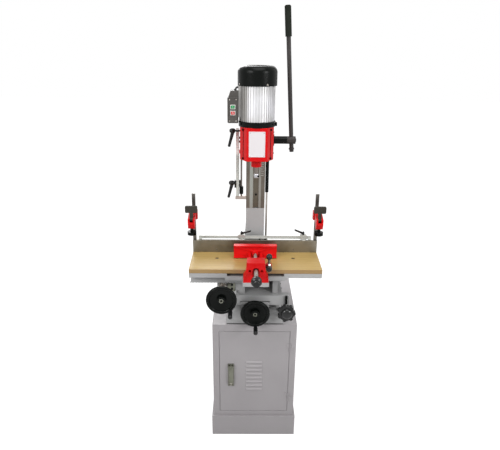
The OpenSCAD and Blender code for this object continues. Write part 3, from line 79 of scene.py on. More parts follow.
print("middle of the motor:", [round(v, 3) for v in middle("motor_body")])

# %% [markdown]
# ## Camera
# The photograph was taken from a little above the motor, close to the middle of the machine and about two
# metres in front of it. The camera's place and its three turns were fitted to edges of parts whose size is
# usual. A camera looks along its own -Z, so its matrix has the right, up and backward directions as columns.

# %% Place the camera
camera_spot = Vector((-0.0448, -2.0303, 1.7266))
pitch_down = 0.3568
yaw_left = -0.0111
roll = 0.0101
focal_pixels = 477.3
picture_width = 500
sensor_width = 36

level_right = Vector((math.cos(yaw_left), math.sin(yaw_left), 0))
level_ahead = Vector((-math.sin(yaw_left), math.cos(yaw_left), 0))
looking = level_ahead * math.cos(pitch_down) - up * math.sin(pitch_down)
rising = level_ahead * math.sin(pitch_down) + up * math.cos(pitch_down)
camera_right = level_right * math.cos(roll) + rising * math.sin(roll)
camera_up = rising * math.cos(roll) - level_right * math.sin(roll)

camera_data = bpy.data.cameras.new("camera")
camera_data.sensor_width = sensor_width
camera_data.lens = focal_pixels * sensor_width / picture_width
camera = bpy.data.objects.new("camera", camera_data)
bpy.context.scene.collection.objects.link(camera)
turn = Matrix((camera_right, camera_up, -looking)).transposed()
camera.matrix_world = Matrix.Translation(camera_spot) @ turn.to_4x4()
bpy.context.scene.camera = camera
print("lens in mm:", round(camera_data.lens, 2))

# %% [markdown]
# ## Floor and light
# A product picture is taken on a white sweep under large soft lamps. Here the floor is one wide plane, pale
# for the light that bounces off it. Where the camera or a shiny part sees it, it glows as well, so it comes
# out white and still shows the shadow. The world lights gently, and is white only where it is seen.

# %% Helpers for the background
def fill(tree, socket, value):
    """Set an input to a plain value, or feed it with another node's output"""
    if isinstance(value, bpy.types.NodeSocket):
        tree.links.new(value, socket)
    else:
        socket.default_value = value


def add_node(tree, kind, *feeds, **values):
    """A node: feeds fill its inputs in their order, and values the inputs of that name, with _ for a space"""
    node = tree.nodes.new("ShaderNode" + kind)
    for socket, value in zip(node.inputs, feeds):
        fill(tree, socket, value)
    for name, value in values.items():
        fill(tree, node.inputs[name.replace("_", " ")], value)
    return node


def seen_or_lighting(tree, seen, lighting):
    """Show one shader to the camera, off a shiny part or through glass, and another to all other rays"""
    path = add_node(tree, "LightPath").outputs
    chosen = path["Is Camera Ray"]
    for kind in ("Is Glossy Ray", "Is Transmission Ray"):
        either = add_node(tree, "Math", chosen, path[kind])
        either.operation = "MAXIMUM"
        chosen = either.outputs[0]
    return add_node(tree, "MixShader", chosen, lighting, seen).outputs["Shader"]


white = (1, 1, 1, 1)
print("background helpers ready")

# %% Make the floor
floor_size = 30
bouncing_grey = (0.5, 0.5, 0.5, 1)
shadow_grey = (0.3, 0.3, 0.3, 1)
floor_glow = 0.93

bpy.context.scene.view_settings.view_transform = "Standard"
bpy.ops.mesh.primitive_plane_add(size=floor_size)
floor = bpy.context.object
floor.name = "floor"

floor_paint = bpy.data.materials.new("floor_paint")
floor_paint.use_nodes = True
floor_tree = floor_paint.node_tree
floor_tree.nodes.clear()
bouncing = add_node(floor_tree, "BsdfDiffuse", Color=bouncing_grey).outputs["BSDF"]
shadowed = add_node(floor_tree, "BsdfDiffuse", Color=shadow_grey).outputs["BSDF"]
glow = add_node(floor_tree, "Emission", Strength=floor_glow).outputs["Emission"]
white_floor = add_node(floor_tree, "AddShader", shadowed, glow).outputs["Shader"]
add_node(floor_tree, "OutputMaterial", seen_or_lighting(floor_tree, white_floor, bouncing))
floor.data.materials.append(floor_paint)
print("floor in m:", floor_size)

# %% Make the world
sky_light = 0.34

world = bpy.data.worlds.new("studio")
world.use_nodes = True
bpy.context.scene.world = world
sky = world.node_tree
sky.nodes.clear()
gentle_sky = add_node(sky, "Background", Color=white, Strength=sky_light).outputs["Background"]
white_sky = add_node(sky, "Background", Color=white, Strength=1.0).outputs["Background"]
add_node(sky, "OutputWorld", seen_or_lighting(sky, white_sky, gentle_sky))
print("light of the world:", sky_light)

# %% Hang the lamps
lit_spot = Vector((0, -0.05, 1.0))


def soft_lamp(name, spot, width, watts):
    """A square area lamp that faces the middle of the machine"""
    lamp_data = bpy.data.lights.new(name, "AREA")
    lamp_data.shape = "SQUARE"
    lamp_data.size = width
    lamp_data.energy = watts
    lamp = bpy.data.objects.new(name, lamp_data)
    lamp.location = spot
    lamp.rotation_euler = (lit_spot - Vector(spot)).to_track_quat("-Z", "Y").to_euler()
    bpy.context.scene.collection.objects.link(lamp)


soft_lamp("lamp_left", (-2.2, -2.4, 2.6), width=1.6, watts=66)
soft_lamp("lamp_right", (2.4, -2.2, 2.2), width=1.2, watts=50)
soft_lamp("lamp_top", (0.2, -0.9, 3.6), width=1.8, watts=36)
soft_lamp("lamp_back", (-0.6, 2.8, 2.6), width=1.6, watts=40)
print("lamps:", [lamp.name for lamp in bpy.data.lights])

# %% [markdown]
# ## Paint and metal
# A finished surface is never one flat colour. Cast iron under paint is broadly uneven, the paint has a fine
# ripple called orange peel, and its edges are rubbed paler by hands and rags. Noise that reads the object's
# own coordinates can make all of that, and stays on the surface wherever the camera stands. Each helper below
# makes one such effect.

# %% Colours and plain values
def shade(red, green, blue):
    """A colour as seen on screen, 0 to 255, turned into the linear one that the renderer takes"""
    parts = []
    for value in (red / 255, green / 255, blue / 255):
        parts.append(value / 12.92 if value <= 0.04045 else ((value + 0.055) / 1.055) ** 2.4)
    return (*parts, 1)


def darkened(colour, share):
    """A colour with a share of its light"""
    return tuple(value * share for value in colour[:3]) + (1,)


def into(finish, socket, value):
    """Set or feed one of the shader's own sockets"""
    tree = finish.node_tree
    fill(tree, tree.nodes["Principled BSDF"].inputs[socket], value)


def new_finish(name, colour, roughness, metallic=0.0, coat=0.0, mirror=0.5):
    """A material with flat values; mirror is how much a plain coat reflects"""
    finish = bpy.data.materials.new(name)
    finish.use_nodes = True
    into(finish, "Base Color", colour)
    into(finish, "Roughness", roughness)
    into(finish, "Metallic", metallic)
    into(finish, "Coat Weight", coat)
    into(finish, "Coat Roughness", 0.12)
    into(finish, "Specular IOR Level", mirror)
    return finish


print("a middle grey in linear light:", round(shade(128, 128, 128)[0], 3))

# %% Patterns and sums
def noise(finish, scale, detail=2.0, stretch=(1, 1, 1)):
    """Noise of so many patches to the metre, squeezed along an axis by stretch"""
    tree = finish.node_tree
    place = add_node(tree, "TexCoord").outputs["Object"]
    squeezed = add_node(tree, "Mapping", Vector=place, Scale=stretch).outputs["Vector"]
    return add_node(tree, "TexNoise", Vector=squeezed, Scale=scale, Detail=detail).outputs["Fac"]


def between(finish, source, low, high, to_low=0.0, to_high=1.0):
    """Stretch a value between low and high to run from to_low to to_high"""
    return add_node(finish.node_tree, "MapRange", source, low, high, to_low, to_high).outputs["Result"]


def blended(finish, factor, first, second):
    """A colour that goes from first to second"""
    mix = add_node(finish.node_tree, "Mix")
    mix.data_type = "RGBA"
    for name, value in (("Factor", factor), ("A", first), ("B", second)):
        fill(finish.node_tree, mix.inputs[name], value)
    return mix.outputs["Result"]


def times(finish, first, second):
    """The product of two values"""
    product = add_node(finish.node_tree, "Math", first, second)
    product.operation = "MULTIPLY"
    return product.outputs[0]


most_of_noise = (0.3, 0.7)
print("most of a noise lies between", most_of_noise)

# %% Edges, hollows and relief
def softened(finish, radius):
    """The surface direction with sharp edges rounded off by radius"""
    bevel = add_node(finish.node_tree, "Bevel", Radius=radius)
    bevel.samples = 4
    return bevel.outputs["Normal"]


def edges(finish, soft_normal):
    """1 along sharp edges and 0 on flat faces: where the rounded direction leaves the true one"""
    surface = add_node(finish.node_tree, "NewGeometry").outputs["Normal"]
    agreement = add_node(finish.node_tree, "VectorMath", surface, soft_normal)
    agreement.operation = "DOT_PRODUCT"
    flat, sharp = 0.995, 0.9
    return between(finish, agreement.outputs["Value"], flat, sharp)


def hollows(finish, reach):
    """1 deep in corners and slots, 0 on open faces: how much is hidden within reach metres"""
    hidden = add_node(finish.node_tree, "AmbientOcclusion", Distance=reach)
    hidden.samples = 4
    open_face, deep_corner = 0.8, 0.1
    return between(finish, hidden.outputs["AO"], open_face, deep_corner)


def relief(finish, height, depth, base):
    """Raise the surface by a height pattern, depth metres deep, on top of a base direction"""
    return add_node(finish.node_tree, "Bump", Distance=depth, Height=height, Normal=base).outputs["Normal"]


print("surface helpers ready")

# %% [markdown]
# ## Painted castings and sheet
# The cabinet is folded sheet under a warm grey enamel, and the castings under the table have a cooler grey.
# The head, the vise and the clamps are a deep gloss red. All of them are a coloured coat over metal, so one
# function makes them, with the ripple, the unevenness and the paler worn edge as its values.

# %% Paint for castings and sheet
broad_patches, gloss_patches, worn_patches, orange_peel = 5, 40, 60, 700  # to the metre
# how far a hollow reaches for the painted shade in it
hollow_shade_reach = 80 * mm


def painted(name, colour, worn, roughness, coat, ripple, edge=1.2, mirror=0.4, hollow_shade=0.0):
    """A coat of paint: uneven, rippled, worn pale along its edges and darker in its hollows as painted shade;
    lengths in mm
    """
    colour, worn = shade(*colour), shade(*worn)
    finish = new_finish(name, colour, roughness, coat=coat, mirror=mirror)
    broad = between(finish, noise(finish, broad_patches, 3), *most_of_noise)
    tone = blended(finish, broad, darkened(colour, 0.9), colour)
    soft_normal = softened(finish, edge * mm)
    patchy = between(finish, noise(finish, worn_patches, 3), 0.45, 0.65)
    rubbed = times(finish, edges(finish, soft_normal), patchy)
    surface = blended(finish, times(finish, rubbed, 0.6), tone, worn)
    # painted shade: the paint darkens in corners, slots and under parts, by how hidden they are
    if hollow_shade:
        shaded_hollows = times(finish, hollows(finish, hollow_shade_reach), hollow_shade)
        surface = blended(finish, shaded_hollows, surface, darkened(colour, 0.3))
    into(finish, "Base Color", surface)
    gloss = noise(finish, gloss_patches, 2)
    into(finish, "Roughness", between(finish, gloss, *most_of_noise, roughness - 0.05, roughness + 0.07))
    into(finish, "Normal", relief(finish, noise(finish, orange_peel, 2), ripple * mm, soft_normal))
    return finish


cabinet_enamel = painted("cabinet_enamel", (164, 160, 162), (190, 187, 188), 0.45, 0.1, 0.08, hollow_shade=0.25)
casting_grey = painted("casting_grey", (172, 172, 172), (198, 198, 198), 0.48, 0.1, 0.2, 2.5, hollow_shade=0.55)
gloss_red = painted("gloss_red", (207, 12, 16), (222, 70, 60), 0.38, 0.05, 0.12, 2, 0.15, 0.12)
# a lighter copy of gloss_red for the jaw: painted light on its front
lit_jaw_red = painted("lit_jaw_red", (222, 18, 22), (230, 76, 66), 0.38, 0.05, 0.12, 2, 0.15, 0.12)
gloss_black = painted("gloss_black", (6, 9, 7), (34, 38, 35), 0.24, 0.0, 0.1, 1.5, 0.11)
print("paints:", [m.name for m in (cabinet_enamel, casting_grey, gloss_red, lit_jaw_red, gloss_black)])

# %% [markdown]
# ## Ground and polished metal
# Ground steel shows fine parallel scratches, a slightly warm tone and darker oiled patches. Noise stretched
# fiftyfold along one axis gives such lines. Chrome is almost a mirror. Cast aluminium is paler, with a finely
# grained skin.

# %% Metals
oil_patches, scratch_lines = 9, 900  # to the metre
bare_edge = shade(225, 224, 220)
along_x = (0.02, 1, 1)
along_y = (1, 0.02, 1)
along_z = (1, 1, 0.02)
even = (1, 1, 1)


def ground(name, colour, oiled, roughness, stretch, depth=0.02, metallic=1.0):
    """Ground metal with oiled patches, and scratches along one axis that are depth mm deep"""
    colour, oiled = shade(*colour), shade(*oiled)
    finish = new_finish(name, colour, roughness, metallic=metallic)
    soft_normal = softened(finish, 0.8 * mm)
    scratches = noise(finish, scratch_lines, 2, stretch)
    patches = between(finish, noise(finish, oil_patches, 4), 0.35, 0.7)
    tone = blended(finish, patches, colour, oiled)
    rubbed = times(finish, edges(finish, soft_normal), 0.5)
    into(finish, "Base Color", blended(finish, rubbed, tone, bare_edge))
    into(finish, "Roughness", between(finish, scratches, *most_of_noise, roughness - 0.08, roughness + 0.1))
    into(finish, "Normal", relief(finish, scratches, depth * mm, soft_normal))
    return finish


bar_steel = ground("bar_steel", (180, 176, 170), (128, 120, 112), 0.32, along_y)
way_steel = ground("way_steel", (119, 112, 103), (92, 84, 76), 0.36, along_z)
fence_steel = ground("fence_steel", (142, 137, 126), (104, 100, 88), 0.42, along_x)
post_steel = ground("post_steel", (114, 111, 106), (80, 76, 72), 0.38, along_z)
rod_steel = ground("rod_steel", (124, 116, 110), (88, 82, 78), 0.4, along_z)
polished_steel = ground("polished_steel", (186, 186, 190), (150, 150, 152), 0.38, even, 0.005)
chrome = ground("chrome_plate", (230, 230, 228), (196, 196, 190), 0.14, along_z, 0.004)
zinc_plate = ground("zinc_plate", (118, 119, 108), (74, 74, 62), 0.42, along_z)
pale_zinc = ground("pale_zinc", (196, 197, 192), (150, 150, 142), 0.45, along_z, metallic=0.5)
cast_aluminium = ground("cast_aluminium", (226, 226, 229), (201, 200, 199), 0.44, even, 0.04, metallic=0.7)
print("metals ready")

# %% [markdown]
# ## Moulded parts
# The grips, levers and the switch box are moulded. Plastic takes the fine spark-eroded grain of its mould,
# and a foam grip is matte with open pores. The colour hardly varies, but the gloss does where hands have
# polished it.

# %% Plastics and rubber
handled_patches = 18  # to the metre


def moulded(name, colour, roughness, grain, depth, mirror=0.3):
    """Moulded plastic or rubber, polished where it is touched, with a grain that is depth mm deep"""
    colour = shade(*colour)
    finish = new_finish(name, colour, roughness, mirror=mirror)
    soft_normal = softened(finish, mm)
    handled = between(finish, noise(finish, handled_patches, 2), 0.35, 0.7)
    paler = tuple(min(1, value * 1.5 + 0.006) for value in colour[:3]) + (1,)
    into(finish, "Base Color", blended(finish, times(finish, handled, 0.5), colour, paler))
    into(finish, "Roughness", between(finish, handled, 0, 1, roughness + 0.06, roughness - 0.08))
    into(finish, "Normal", relief(finish, noise(finish, grain, 2), depth * mm, soft_normal))
    return finish


black_resin = moulded("black_resin", (13, 14, 14), 0.3, 900, 0.04)
grille_black = moulded("grille_black", (10, 11, 10), 0.95, 900, 0.04, 0.0)
dome_black = moulded("dome_black", (14, 15, 15), 0.14, 900, 0.01, 0.36)
box_grey = moulded("box_grey", (72, 69, 66), 0.5, 1500, 0.12)
lever_black = moulded("lever_black", (50, 47, 46), 0.45, 700, 0.06, 0.2)
foam_rubber = moulded("foam_rubber", (34, 37, 32), 0.85, 1600, 0.4, 0.1)
lead_rubber = moulded("lead_rubber", (22, 22, 23), 0.6, 800, 0.1, 0.2)
paddle_black = moulded("paddle_black", (48, 45, 39), 0.5, 700, 0.06, 0.2)
start_green = moulded("start_green", (24, 140, 78), 0.3, 900, 0.03, 0.5)
stop_red = moulded("stop_red", (196, 24, 30), 0.3, 900, 0.03, 0.5)
bezel_white = moulded("bezel_white", (214, 212, 208), 0.4, 900, 0.03, 0.5)
print("moulded finishes ready")

# %% [markdown]
# ## The maple board
# The table has a replaceable board of maple. Its rings run along the length and show as long wavy lines, with
# tiny pores between them. A wave texture bent by noise makes the lines, and a fine noise squeezed along X the
# pores. The edges are browner from dust and hands.

# %% Maple
ring_squeeze = (0.6, 5, 9)
pore_squeeze = (0.03, 1, 1)
pores_to_metre = 420
fleck_brown = shade(132, 98, 58)
edge_brown = shade(150, 112, 70)
pale, dark = shade(180, 153, 91), shade(166, 135, 78)

maple = new_finish("maple_wood", pale, 0.5, coat=0.08)
place = add_node(maple.node_tree, "TexCoord").outputs["Object"]
squeezed = add_node(maple.node_tree, "Mapping", Vector=place, Scale=ring_squeeze).outputs["Vector"]
rings = add_node(maple.node_tree, "TexWave", Vector=squeezed, Scale=3.2, Distortion=9, Detail=3)
rings.bands_direction = "Y"
grain = blended(maple, times(maple, rings.outputs["Fac"], 0.55), pale, dark)
pores = noise(maple, pores_to_metre, 3, pore_squeeze)
flecks = between(maple, pores, 0.55, 0.75)
spotted = blended(maple, times(maple, flecks, 0.35), grain, fleck_brown)
soft_normal = softened(maple, 1.5 * mm)
handled = times(maple, edges(maple, soft_normal), 0.5)
into(maple, "Base Color", blended(maple, handled, spotted, edge_brown))
into(maple, "Roughness", between(maple, pores, *most_of_noise, 0.42, 0.62))
into(maple, "Normal", relief(maple, pores, 0.15 * mm, soft_normal))
print("maple ready")

# %% [markdown]
# ## White enamel, and which solid has which finish
# The two scales are strips with a hard white enamel that has yellowed a little. Their marks follow further on
# as thin pieces, which stay crisp from any distance. With the last finishes made, each solid gets its own.

# %% Enamel and the finish of each solid
scale_enamel = painted("scale_enamel", (198, 200, 194), (184, 184, 178), 0.35, 0.1, 0.03, 0.5)
ink = moulded("ink", (96, 104, 100), 0.6, 1200, 0.01)
plate_white = painted("plate_white", (224, 219, 221), (190, 184, 186), 0.35, 0.1, 0.02, 0.5)
solids_of = {
    cabinet_enamel: "cabinet_shell cabinet_plinth cabinet_door",
    casting_grey: "base_casting saddle table_casting column_casting table_rack",
    gloss_red: "head_casting vise_body clamp_arm_left clamp_arm_right",
    lit_jaw_red: "vise_jaw",
    gloss_black: "cross_wheel table_wheel motor_flange motor_cap feed_hub gas_cylinder depth_stop "
                 "clamp_pad_left clamp_pad_right",
    bar_steel: "cross_screw table_pinion feed_rack feed_pinion pivot_shaft spindle vise_screw base_bolts "
               "gas_rod",
    rod_steel: "depth_rod chisel_bush",
    way_steel: "column_ways",
    fence_steel: "fence",
    post_steel: "clamp_posts cam_lever",
    pale_zinc: "stop_block_left stop_block_right",
    zinc_plate: "latch_plate latch_handle",
    cast_aluminium: "motor_body",
    black_resin: "lock_knob cross_grip table_grip stop_lever_left stop_lever_right depth_lever head_lever",
    paddle_black: "clamp_lever_left clamp_lever_right",
    box_grey: "switch_box",
    lever_black: "feed_lever",
    foam_rubber: "lever_grip",
    lead_rubber: "switch_leads",
    start_green: "start_button",
    stop_red: "stop_button",
    maple: "table_board",
    scale_enamel: "ruler_bar scale_bar",
}
finished = 0
for finish, names in solids_of.items():
    for name in names.split():
        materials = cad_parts[name].data.materials
        materials.clear()
        materials.append(finish)
        finished += 1
print("solids with a finish:", finished, "of", len(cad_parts))

# %% [markdown]
# ## Stripes
# Some surfaces differ along one line only. On each side of the column's channel is a paler strip, and the
# channel between them is darker: painted shade in the recess. The board's front edge is browner than its top.
# A stripe mixes another colour in between two places along an axis of the solid.

# %% A helper for stripes
def stripe(finish, axis, low, high, colour, strength, blur=0.8 * mm):
    """Mix another colour in between two places along an axis"""
    tree = finish.node_tree
    before = tree.nodes["Principled BSDF"].inputs["Base Color"].links[0].from_socket
    split = add_node(tree, "SeparateXYZ", add_node(tree, "TexCoord").outputs["Object"])
    rise = between(finish, split.outputs[axis], low - blur, low + blur)
    fall = between(finish, split.outputs[axis], high - blur, high + blur, 1.0, 0.0)
    inside = times(finish, times(finish, rise, fall), strength)
    into(finish, "Base Color", blended(finish, inside, before, shade(*colour)))


beyond = 10 * mm
print("a stripe that should reach an edge goes on for", beyond / mm, "mm beyond it")

# %% Lay the stripes
bright_left = (-25.5 * mm, -11.5 * mm)
shaded_channel = (-9.5 * mm, 11.5 * mm)
bright_right = (14.5 * mm, 24 * mm)
stripe(way_steel, "X", *bright_left, (176, 180, 174), 0.6)
# painted shade: the channel is darkened as a recess in shade
stripe(way_steel, "X", *shaded_channel, (84, 78, 62), 0.45)
stripe(way_steel, "X", *bright_right, (166, 164, 158), 0.55)

foot_thick = 14.5 * mm
foot = limits("depth_rod")[low_z]
stripe(rod_steel, "Z", foot - mm, foot + foot_thick, (182, 170, 162), 0.8)

head = limits("head_casting")
# painted light: the scale beside the head is made paler where the head shades it
lit_from, lit_to = head[low_z] + 30 * mm, head[high_z] + 20 * mm
stripe(scale_enamel, "Z", lit_from, lit_to, (252, 252, 248), 0.9, blur=10 * mm)

# painted shade: the motor's left side is darkened
motor_left = limits("motor_body")[low_x]
shaded_width = 36 * mm
stripe(
    cast_aluminium, "X", motor_left - beyond, motor_left + shaded_width, (146, 143, 136), 0.65, blur=8 * mm
)

# painted shade: the cabinet grows darker towards the bottom
shaded_from, shaded_to, shade_blur = -0.5, 0.28, 0.2
stripe(cabinet_enamel, "Z", shaded_from, shaded_to, (140, 136, 138), 0.5, shade_blur)

board = limits("table_board")
stripe(maple, "Y", board[front_y] - beyond, board[front_y] + 0.6 * mm, (140, 108, 76), 0.6, blur=0.3 * mm)
# painted shade along the board's lower edge, where it meets the table
stripe(maple, "Z", board[low_z] - beyond, board[low_z] + 2 * mm, (92, 72, 50), 0.5)
print("stripes laid")

# %% [markdown]
# ## How the small fittings are modelled
# A real machine carries dozens of small parts: plates, screws, nuts, knobs and marks. Each starts from a
# plain solid and is then shaped as in a workshop: an edge is rounded, a face is set in, a round end is drawn
# out in steps. The helpers below do those steps. A fitting's own sizes are given in millimetres, its place in
# metres.

# %% Choose and smooth
def only(*pieces):
    """Select these pieces alone, and make the first one active"""
    bpy.ops.object.select_all(action="DESELECT")
    for piece in pieces:
        piece.select_set(True)
    bpy.context.view_layer.objects.active = pieces[0]


def pick_faces(piece, wanted):
    """Go into edit mode with only the wanted faces selected"""
    only(piece)
    bpy.ops.object.mode_set(mode="EDIT")
    bpy.ops.mesh.select_mode(type="FACE")
    bpy.ops.mesh.select_all(action="DESELECT")
    shape = bmesh.from_edit_mesh(piece.data)
    for face in wanted(shape.faces):
        face.select_set(True)
    bmesh.update_edit_mesh(piece.data)


def rounded(piece, width):
    """Round all the sharp edges by a bevel modifier, and apply it"""
    only(piece)
    bevel = piece.modifiers.new("round", "BEVEL")
    bevel.width = width * mm
    bevel.segments = 2
    bevel.limit_method = "ANGLE"
    bpy.ops.object.modifier_apply(modifier=bevel.name)
    return piece


def joined(pieces):
    """Several meshes as one"""
    only(*pieces)
    bpy.ops.object.join()
    return bpy.context.object


print("choosing helpers ready")

# %% Hand a piece to its body
smooth_below = math.radians(35)


def settle(piece, name, finish, body):
    """Keep the place in the mesh, smooth the round faces, and let the piece ride on a body"""
    only(piece)
    bpy.ops.object.transform_apply(location=True, rotation=True, scale=True)
    bpy.ops.object.shade_smooth_by_angle(angle=smooth_below)
    piece.name = name
    piece.data.name = name
    piece.data.materials.clear()
    piece.data.materials.append(finish)
    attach(piece, body)


# %% Blocks, turned bars and rings
def block(low, high, width=0.0):
    """A box between two corners, its edges rounded by width"""
    low, high = Vector(low), Vector(high)
    bpy.ops.mesh.primitive_cube_add(size=1, location=(low + high) / 2)
    piece = bpy.context.object
    piece.scale = high - low
    bpy.ops.object.transform_apply(location=False, rotation=False, scale=True)
    return rounded(piece, width) if width else piece


def turned(stations, spot, towards, sides=32):
    """A round bar drawn out in steps: each station is (distance from spot, radius), towards a direction"""
    along, radius = stations[0]
    bpy.ops.mesh.primitive_circle_add(
        vertices=sides, radius=radius * mm, fill_type="NGON", location=up * along * mm
    )
    piece = bpy.context.object
    bpy.ops.object.transform_apply(location=True, rotation=False, scale=False)
    bpy.ops.object.mode_set(mode="EDIT")
    bpy.ops.mesh.select_all(action="SELECT")
    for next_along, next_radius in stations[1:]:
        bpy.ops.mesh.extrude_region_move(
            TRANSFORM_OT_translate={"value": (0, 0, (next_along - along) * mm)}
        )
        ratio = next_radius / radius
        bpy.ops.transform.resize(value=(ratio, ratio, 1))
        along, radius = next_along, next_radius
    bpy.ops.mesh.select_all(action="SELECT")
    bpy.ops.mesh.normals_make_consistent(inside=False)
    bpy.ops.object.mode_set(mode="OBJECT")
    piece.rotation_euler = Vector(towards).to_track_quat("Z", "Y").to_euler()
    piece.location = spot
    bpy.ops.object.transform_apply(location=True, rotation=True, scale=False)
    return piece


def torus(ring_radius, bar_radius, segments, spot, turn=(0, 0, 0)):
    """A ring of round bar"""
    bpy.ops.mesh.primitive_torus_add(
        major_radius=ring_radius * mm, minor_radius=bar_radius * mm,
        major_segments=segments, minor_segments=8, location=spot, rotation=turn
    )
    return bpy.context.object


print("blocks, bars and rings ready")

# %% Screws, nuts and frames
def cap_screw(radius, height, spot, out):
    """A socket screw's head: a short cylinder whose face is let in by half its height"""
    rim_radius, socket_radius = radius * 0.9, radius * 0.55
    screw = turned([(0, radius), (height * 0.85, radius), (height, rim_radius)], spot, out, sides=24)
    pick_faces(screw, lambda faces: [
        max(faces, key=lambda face: (face.calc_center_median() + face.normal).dot(out))
    ])
    bpy.ops.mesh.inset(thickness=(rim_radius - socket_radius) * mm)
    bpy.ops.transform.translate(value=out * -height / 2 * mm)
    bpy.ops.object.mode_set(mode="OBJECT")
    return screw


def hex_head(radius, height, spot, out):
    """A hexagon head or nut with its outer corners taken off"""
    return turned([(0, radius), (height * 0.8, radius), (height, radius * 0.88)], spot, out, sides=6)


def frame_plate(low, high, wall):
    """A flat rectangular frame that faces the front, with an opening through it"""
    piece = block(low, high)
    pick_faces(piece, lambda faces: [face for face in faces if abs(face.normal.y) > 0.9])
    bpy.ops.mesh.inset(thickness=wall)
    bpy.ops.mesh.bridge_edge_loops()
    bpy.ops.object.mode_set(mode="OBJECT")
    return piece


def corner_spots(low, high, inset, y):
    """Four places in the corners of an upright rectangle, from low left to high right"""
    return [(x, y, z) for z in (low.z + inset, high.z - inset) for x in (low.x + inset, high.x - inset)]


sunk = 0.2 * mm
print("a fitting is sunk by", sunk / mm, "mm in what carries it")

# %% [markdown]
# ## The head's plate and screws
# The red head is a casting with a flat front and two slanted sides. A maker would fix a name plate on the
# front; here it is left bare, with a raised rim and a rivet in each corner. Socket screws pull the slotted
# sides of the casting onto the column, so there is one at each end of the two long slots.

# %% Fit the plate
head_top = limits("motor_flange")[low_z]
plate_half, plate_thick = 32 * mm, 1.2 * mm
plate_drop, plate_foot = 13 * mm, 113 * mm
rim, recess, rivet_in = 2.2 * mm, 0.4 * mm, 5 * mm
plate_low = Vector((-plate_half, head[front_y] - plate_thick, head_top - plate_foot))
plate_high = Vector((plate_half, head[front_y] + 0.1 * mm, head_top - plate_drop))

plate = block(plate_low, plate_high, 0.4)
pick_faces(plate, lambda faces: [max(faces, key=lambda face: face.calc_area() * -face.normal.y)])
bpy.ops.mesh.inset(thickness=rim)
bpy.ops.mesh.inset(thickness=recess)
bpy.ops.transform.translate(value=back * recess)
bpy.ops.object.mode_set(mode="OBJECT")
settle(plate, "head_plate", plate_white, "head")

rivet_root = head[front_y] - plate_thick * 0.6
for number, spot in enumerate(corner_spots(plate_low, plate_high, rivet_in, rivet_root), start=1):
    rivet = turned([(0, 1.8), (0.5, 1.8), (1.0, 1.1), (1.15, 0.3)], spot, front, sides=16)
    settle(rivet, f"head_rivet_{number}", bar_steel, "head")
print("plate in mm:", [round(v / mm) for v in plate_high - plate_low])

# %% Fit the screws on the head's sides
facet_in, facet_out, facet_back = 41 * mm, 67 * mm, 132 * mm
collar_height = 35 * mm
slot_inset = 9 * mm
casting_low = head[low_z] + collar_height
slant = Vector((-head[front_y] - facet_back, facet_in - facet_out, 0)).normalized()
facet_middle = Vector(((facet_in + facet_out) / 2, (head[front_y] - facet_back) / 2, 0))
for side, side_name in ((-1, "left"), (1, "right")):
    out = Vector((side * slant.x, slant.y, 0))
    for level, level_name in ((casting_low + slot_inset, "low"), (head_top - slot_inset, "high")):
        spot = Vector((side * facet_middle.x, facet_middle.y, level)) - out * sunk
        settle(cap_screw(4.5, 4.2, spot, out), f"gib_screw_{side_name}_{level_name}", gloss_black, "head")

cover_level = (head_top + casting_low) / 2
cover_half = 42 * mm
cover_front, cover_back = -118 * mm, -45 * mm
for number, y in enumerate((cover_front, cover_back), start=1):
    for level_name, level in (("low", cover_level - cover_half), ("high", cover_level + cover_half)):
        screw = cap_screw(3.5, 3.4, (facet_out - sunk, y, level), right)
        settle(screw, f"side_screw_{number}_{level_name}", bar_steel, "head")
left_row = -60 * mm
for number, drop in enumerate((57 * mm, 73 * mm), start=1):
    screw = cap_screw(4.6, 6, (sunk - facet_out, left_row, head_top - drop), left)
    settle(screw, f"left_screw_{number}", gloss_black, "head")
print("screws on the head: 10")

# %% [markdown]
# ## Chisel collar
# The chisel's shank goes up into the collar and is held there by a cap screw. The collar itself is a turned
# boss under the head. The steel bushing in it ends in a ring that is drawn in at both ends, so a chisel finds
# its way in, and a second screw on the ring's right side points at the shank.

# %% Fit the collar's screw and ring
bush_foot = side_middle("chisel_bush", low_z)
collar_radius = 21.3 * mm
ring = turned(
    [(0, 7.6), (1, 8.8), (4, 9.9), (9, 10.3), (14, 9.9), (17, 9.2), (18, 8.8)],
    bush_foot + up * 0.5 * mm, up, sides=40
)
settle(ring, "chisel_ring", polished_steel, "head")
collar_spot = (bush_foot.x - 3 * mm, bush_foot.y - collar_radius, head[low_z] + 16 * mm)
settle(cap_screw(3.4, 1.4, collar_spot, front), "collar_screw", gloss_red, "head")
front_right = (right + front).normalized()
ring_spot = bush_foot + (up * 9 + front_right * 11) * mm
settle(cap_screw(3.6, 4, ring_spot, front_right), "chisel_ring_screw", gloss_black, "head")
print("collar fitted at z", round(head[low_z], 3))

# %% [markdown]
# ## Motor
# The cap over the fan is pressed from thin steel. Air goes in through a round grille in its top, and four
# small screws hold its skirt to the end shield. The flange between motor and head is bolted down from above.

# %% Fit the fan grille
motor_cap = limits("motor_cap")
cap_radius = (motor_cap[high_x] - motor_cap[low_x]) / 2
grille_middle = side_middle("motor_cap", high_z) - up * 0.9 * mm
ring_radii, ring_bar, spoke_bar, spoke_reach = (12, 20, 28, 36, 44), 1.3, 1.2, 46
spoke_angles = range(0, 180, 30)
bars = [torus(radius, ring_bar, 48, grille_middle) for radius in ring_radii]


def around(degrees):
    """The direction at an angle around the motor, from the right towards the back"""
    angle = math.radians(degrees)
    return Vector((math.cos(angle), math.sin(angle), 0))


for degrees in spoke_angles:
    out = around(degrees)
    spot = grille_middle - out * spoke_reach * mm
    bars.append(turned([(0, spoke_bar), (2 * spoke_reach, spoke_bar)], spot, out, sides=8))
settle(joined(bars), "fan_grille", grille_black, "head")
print("bars in the grille:", len(bars))

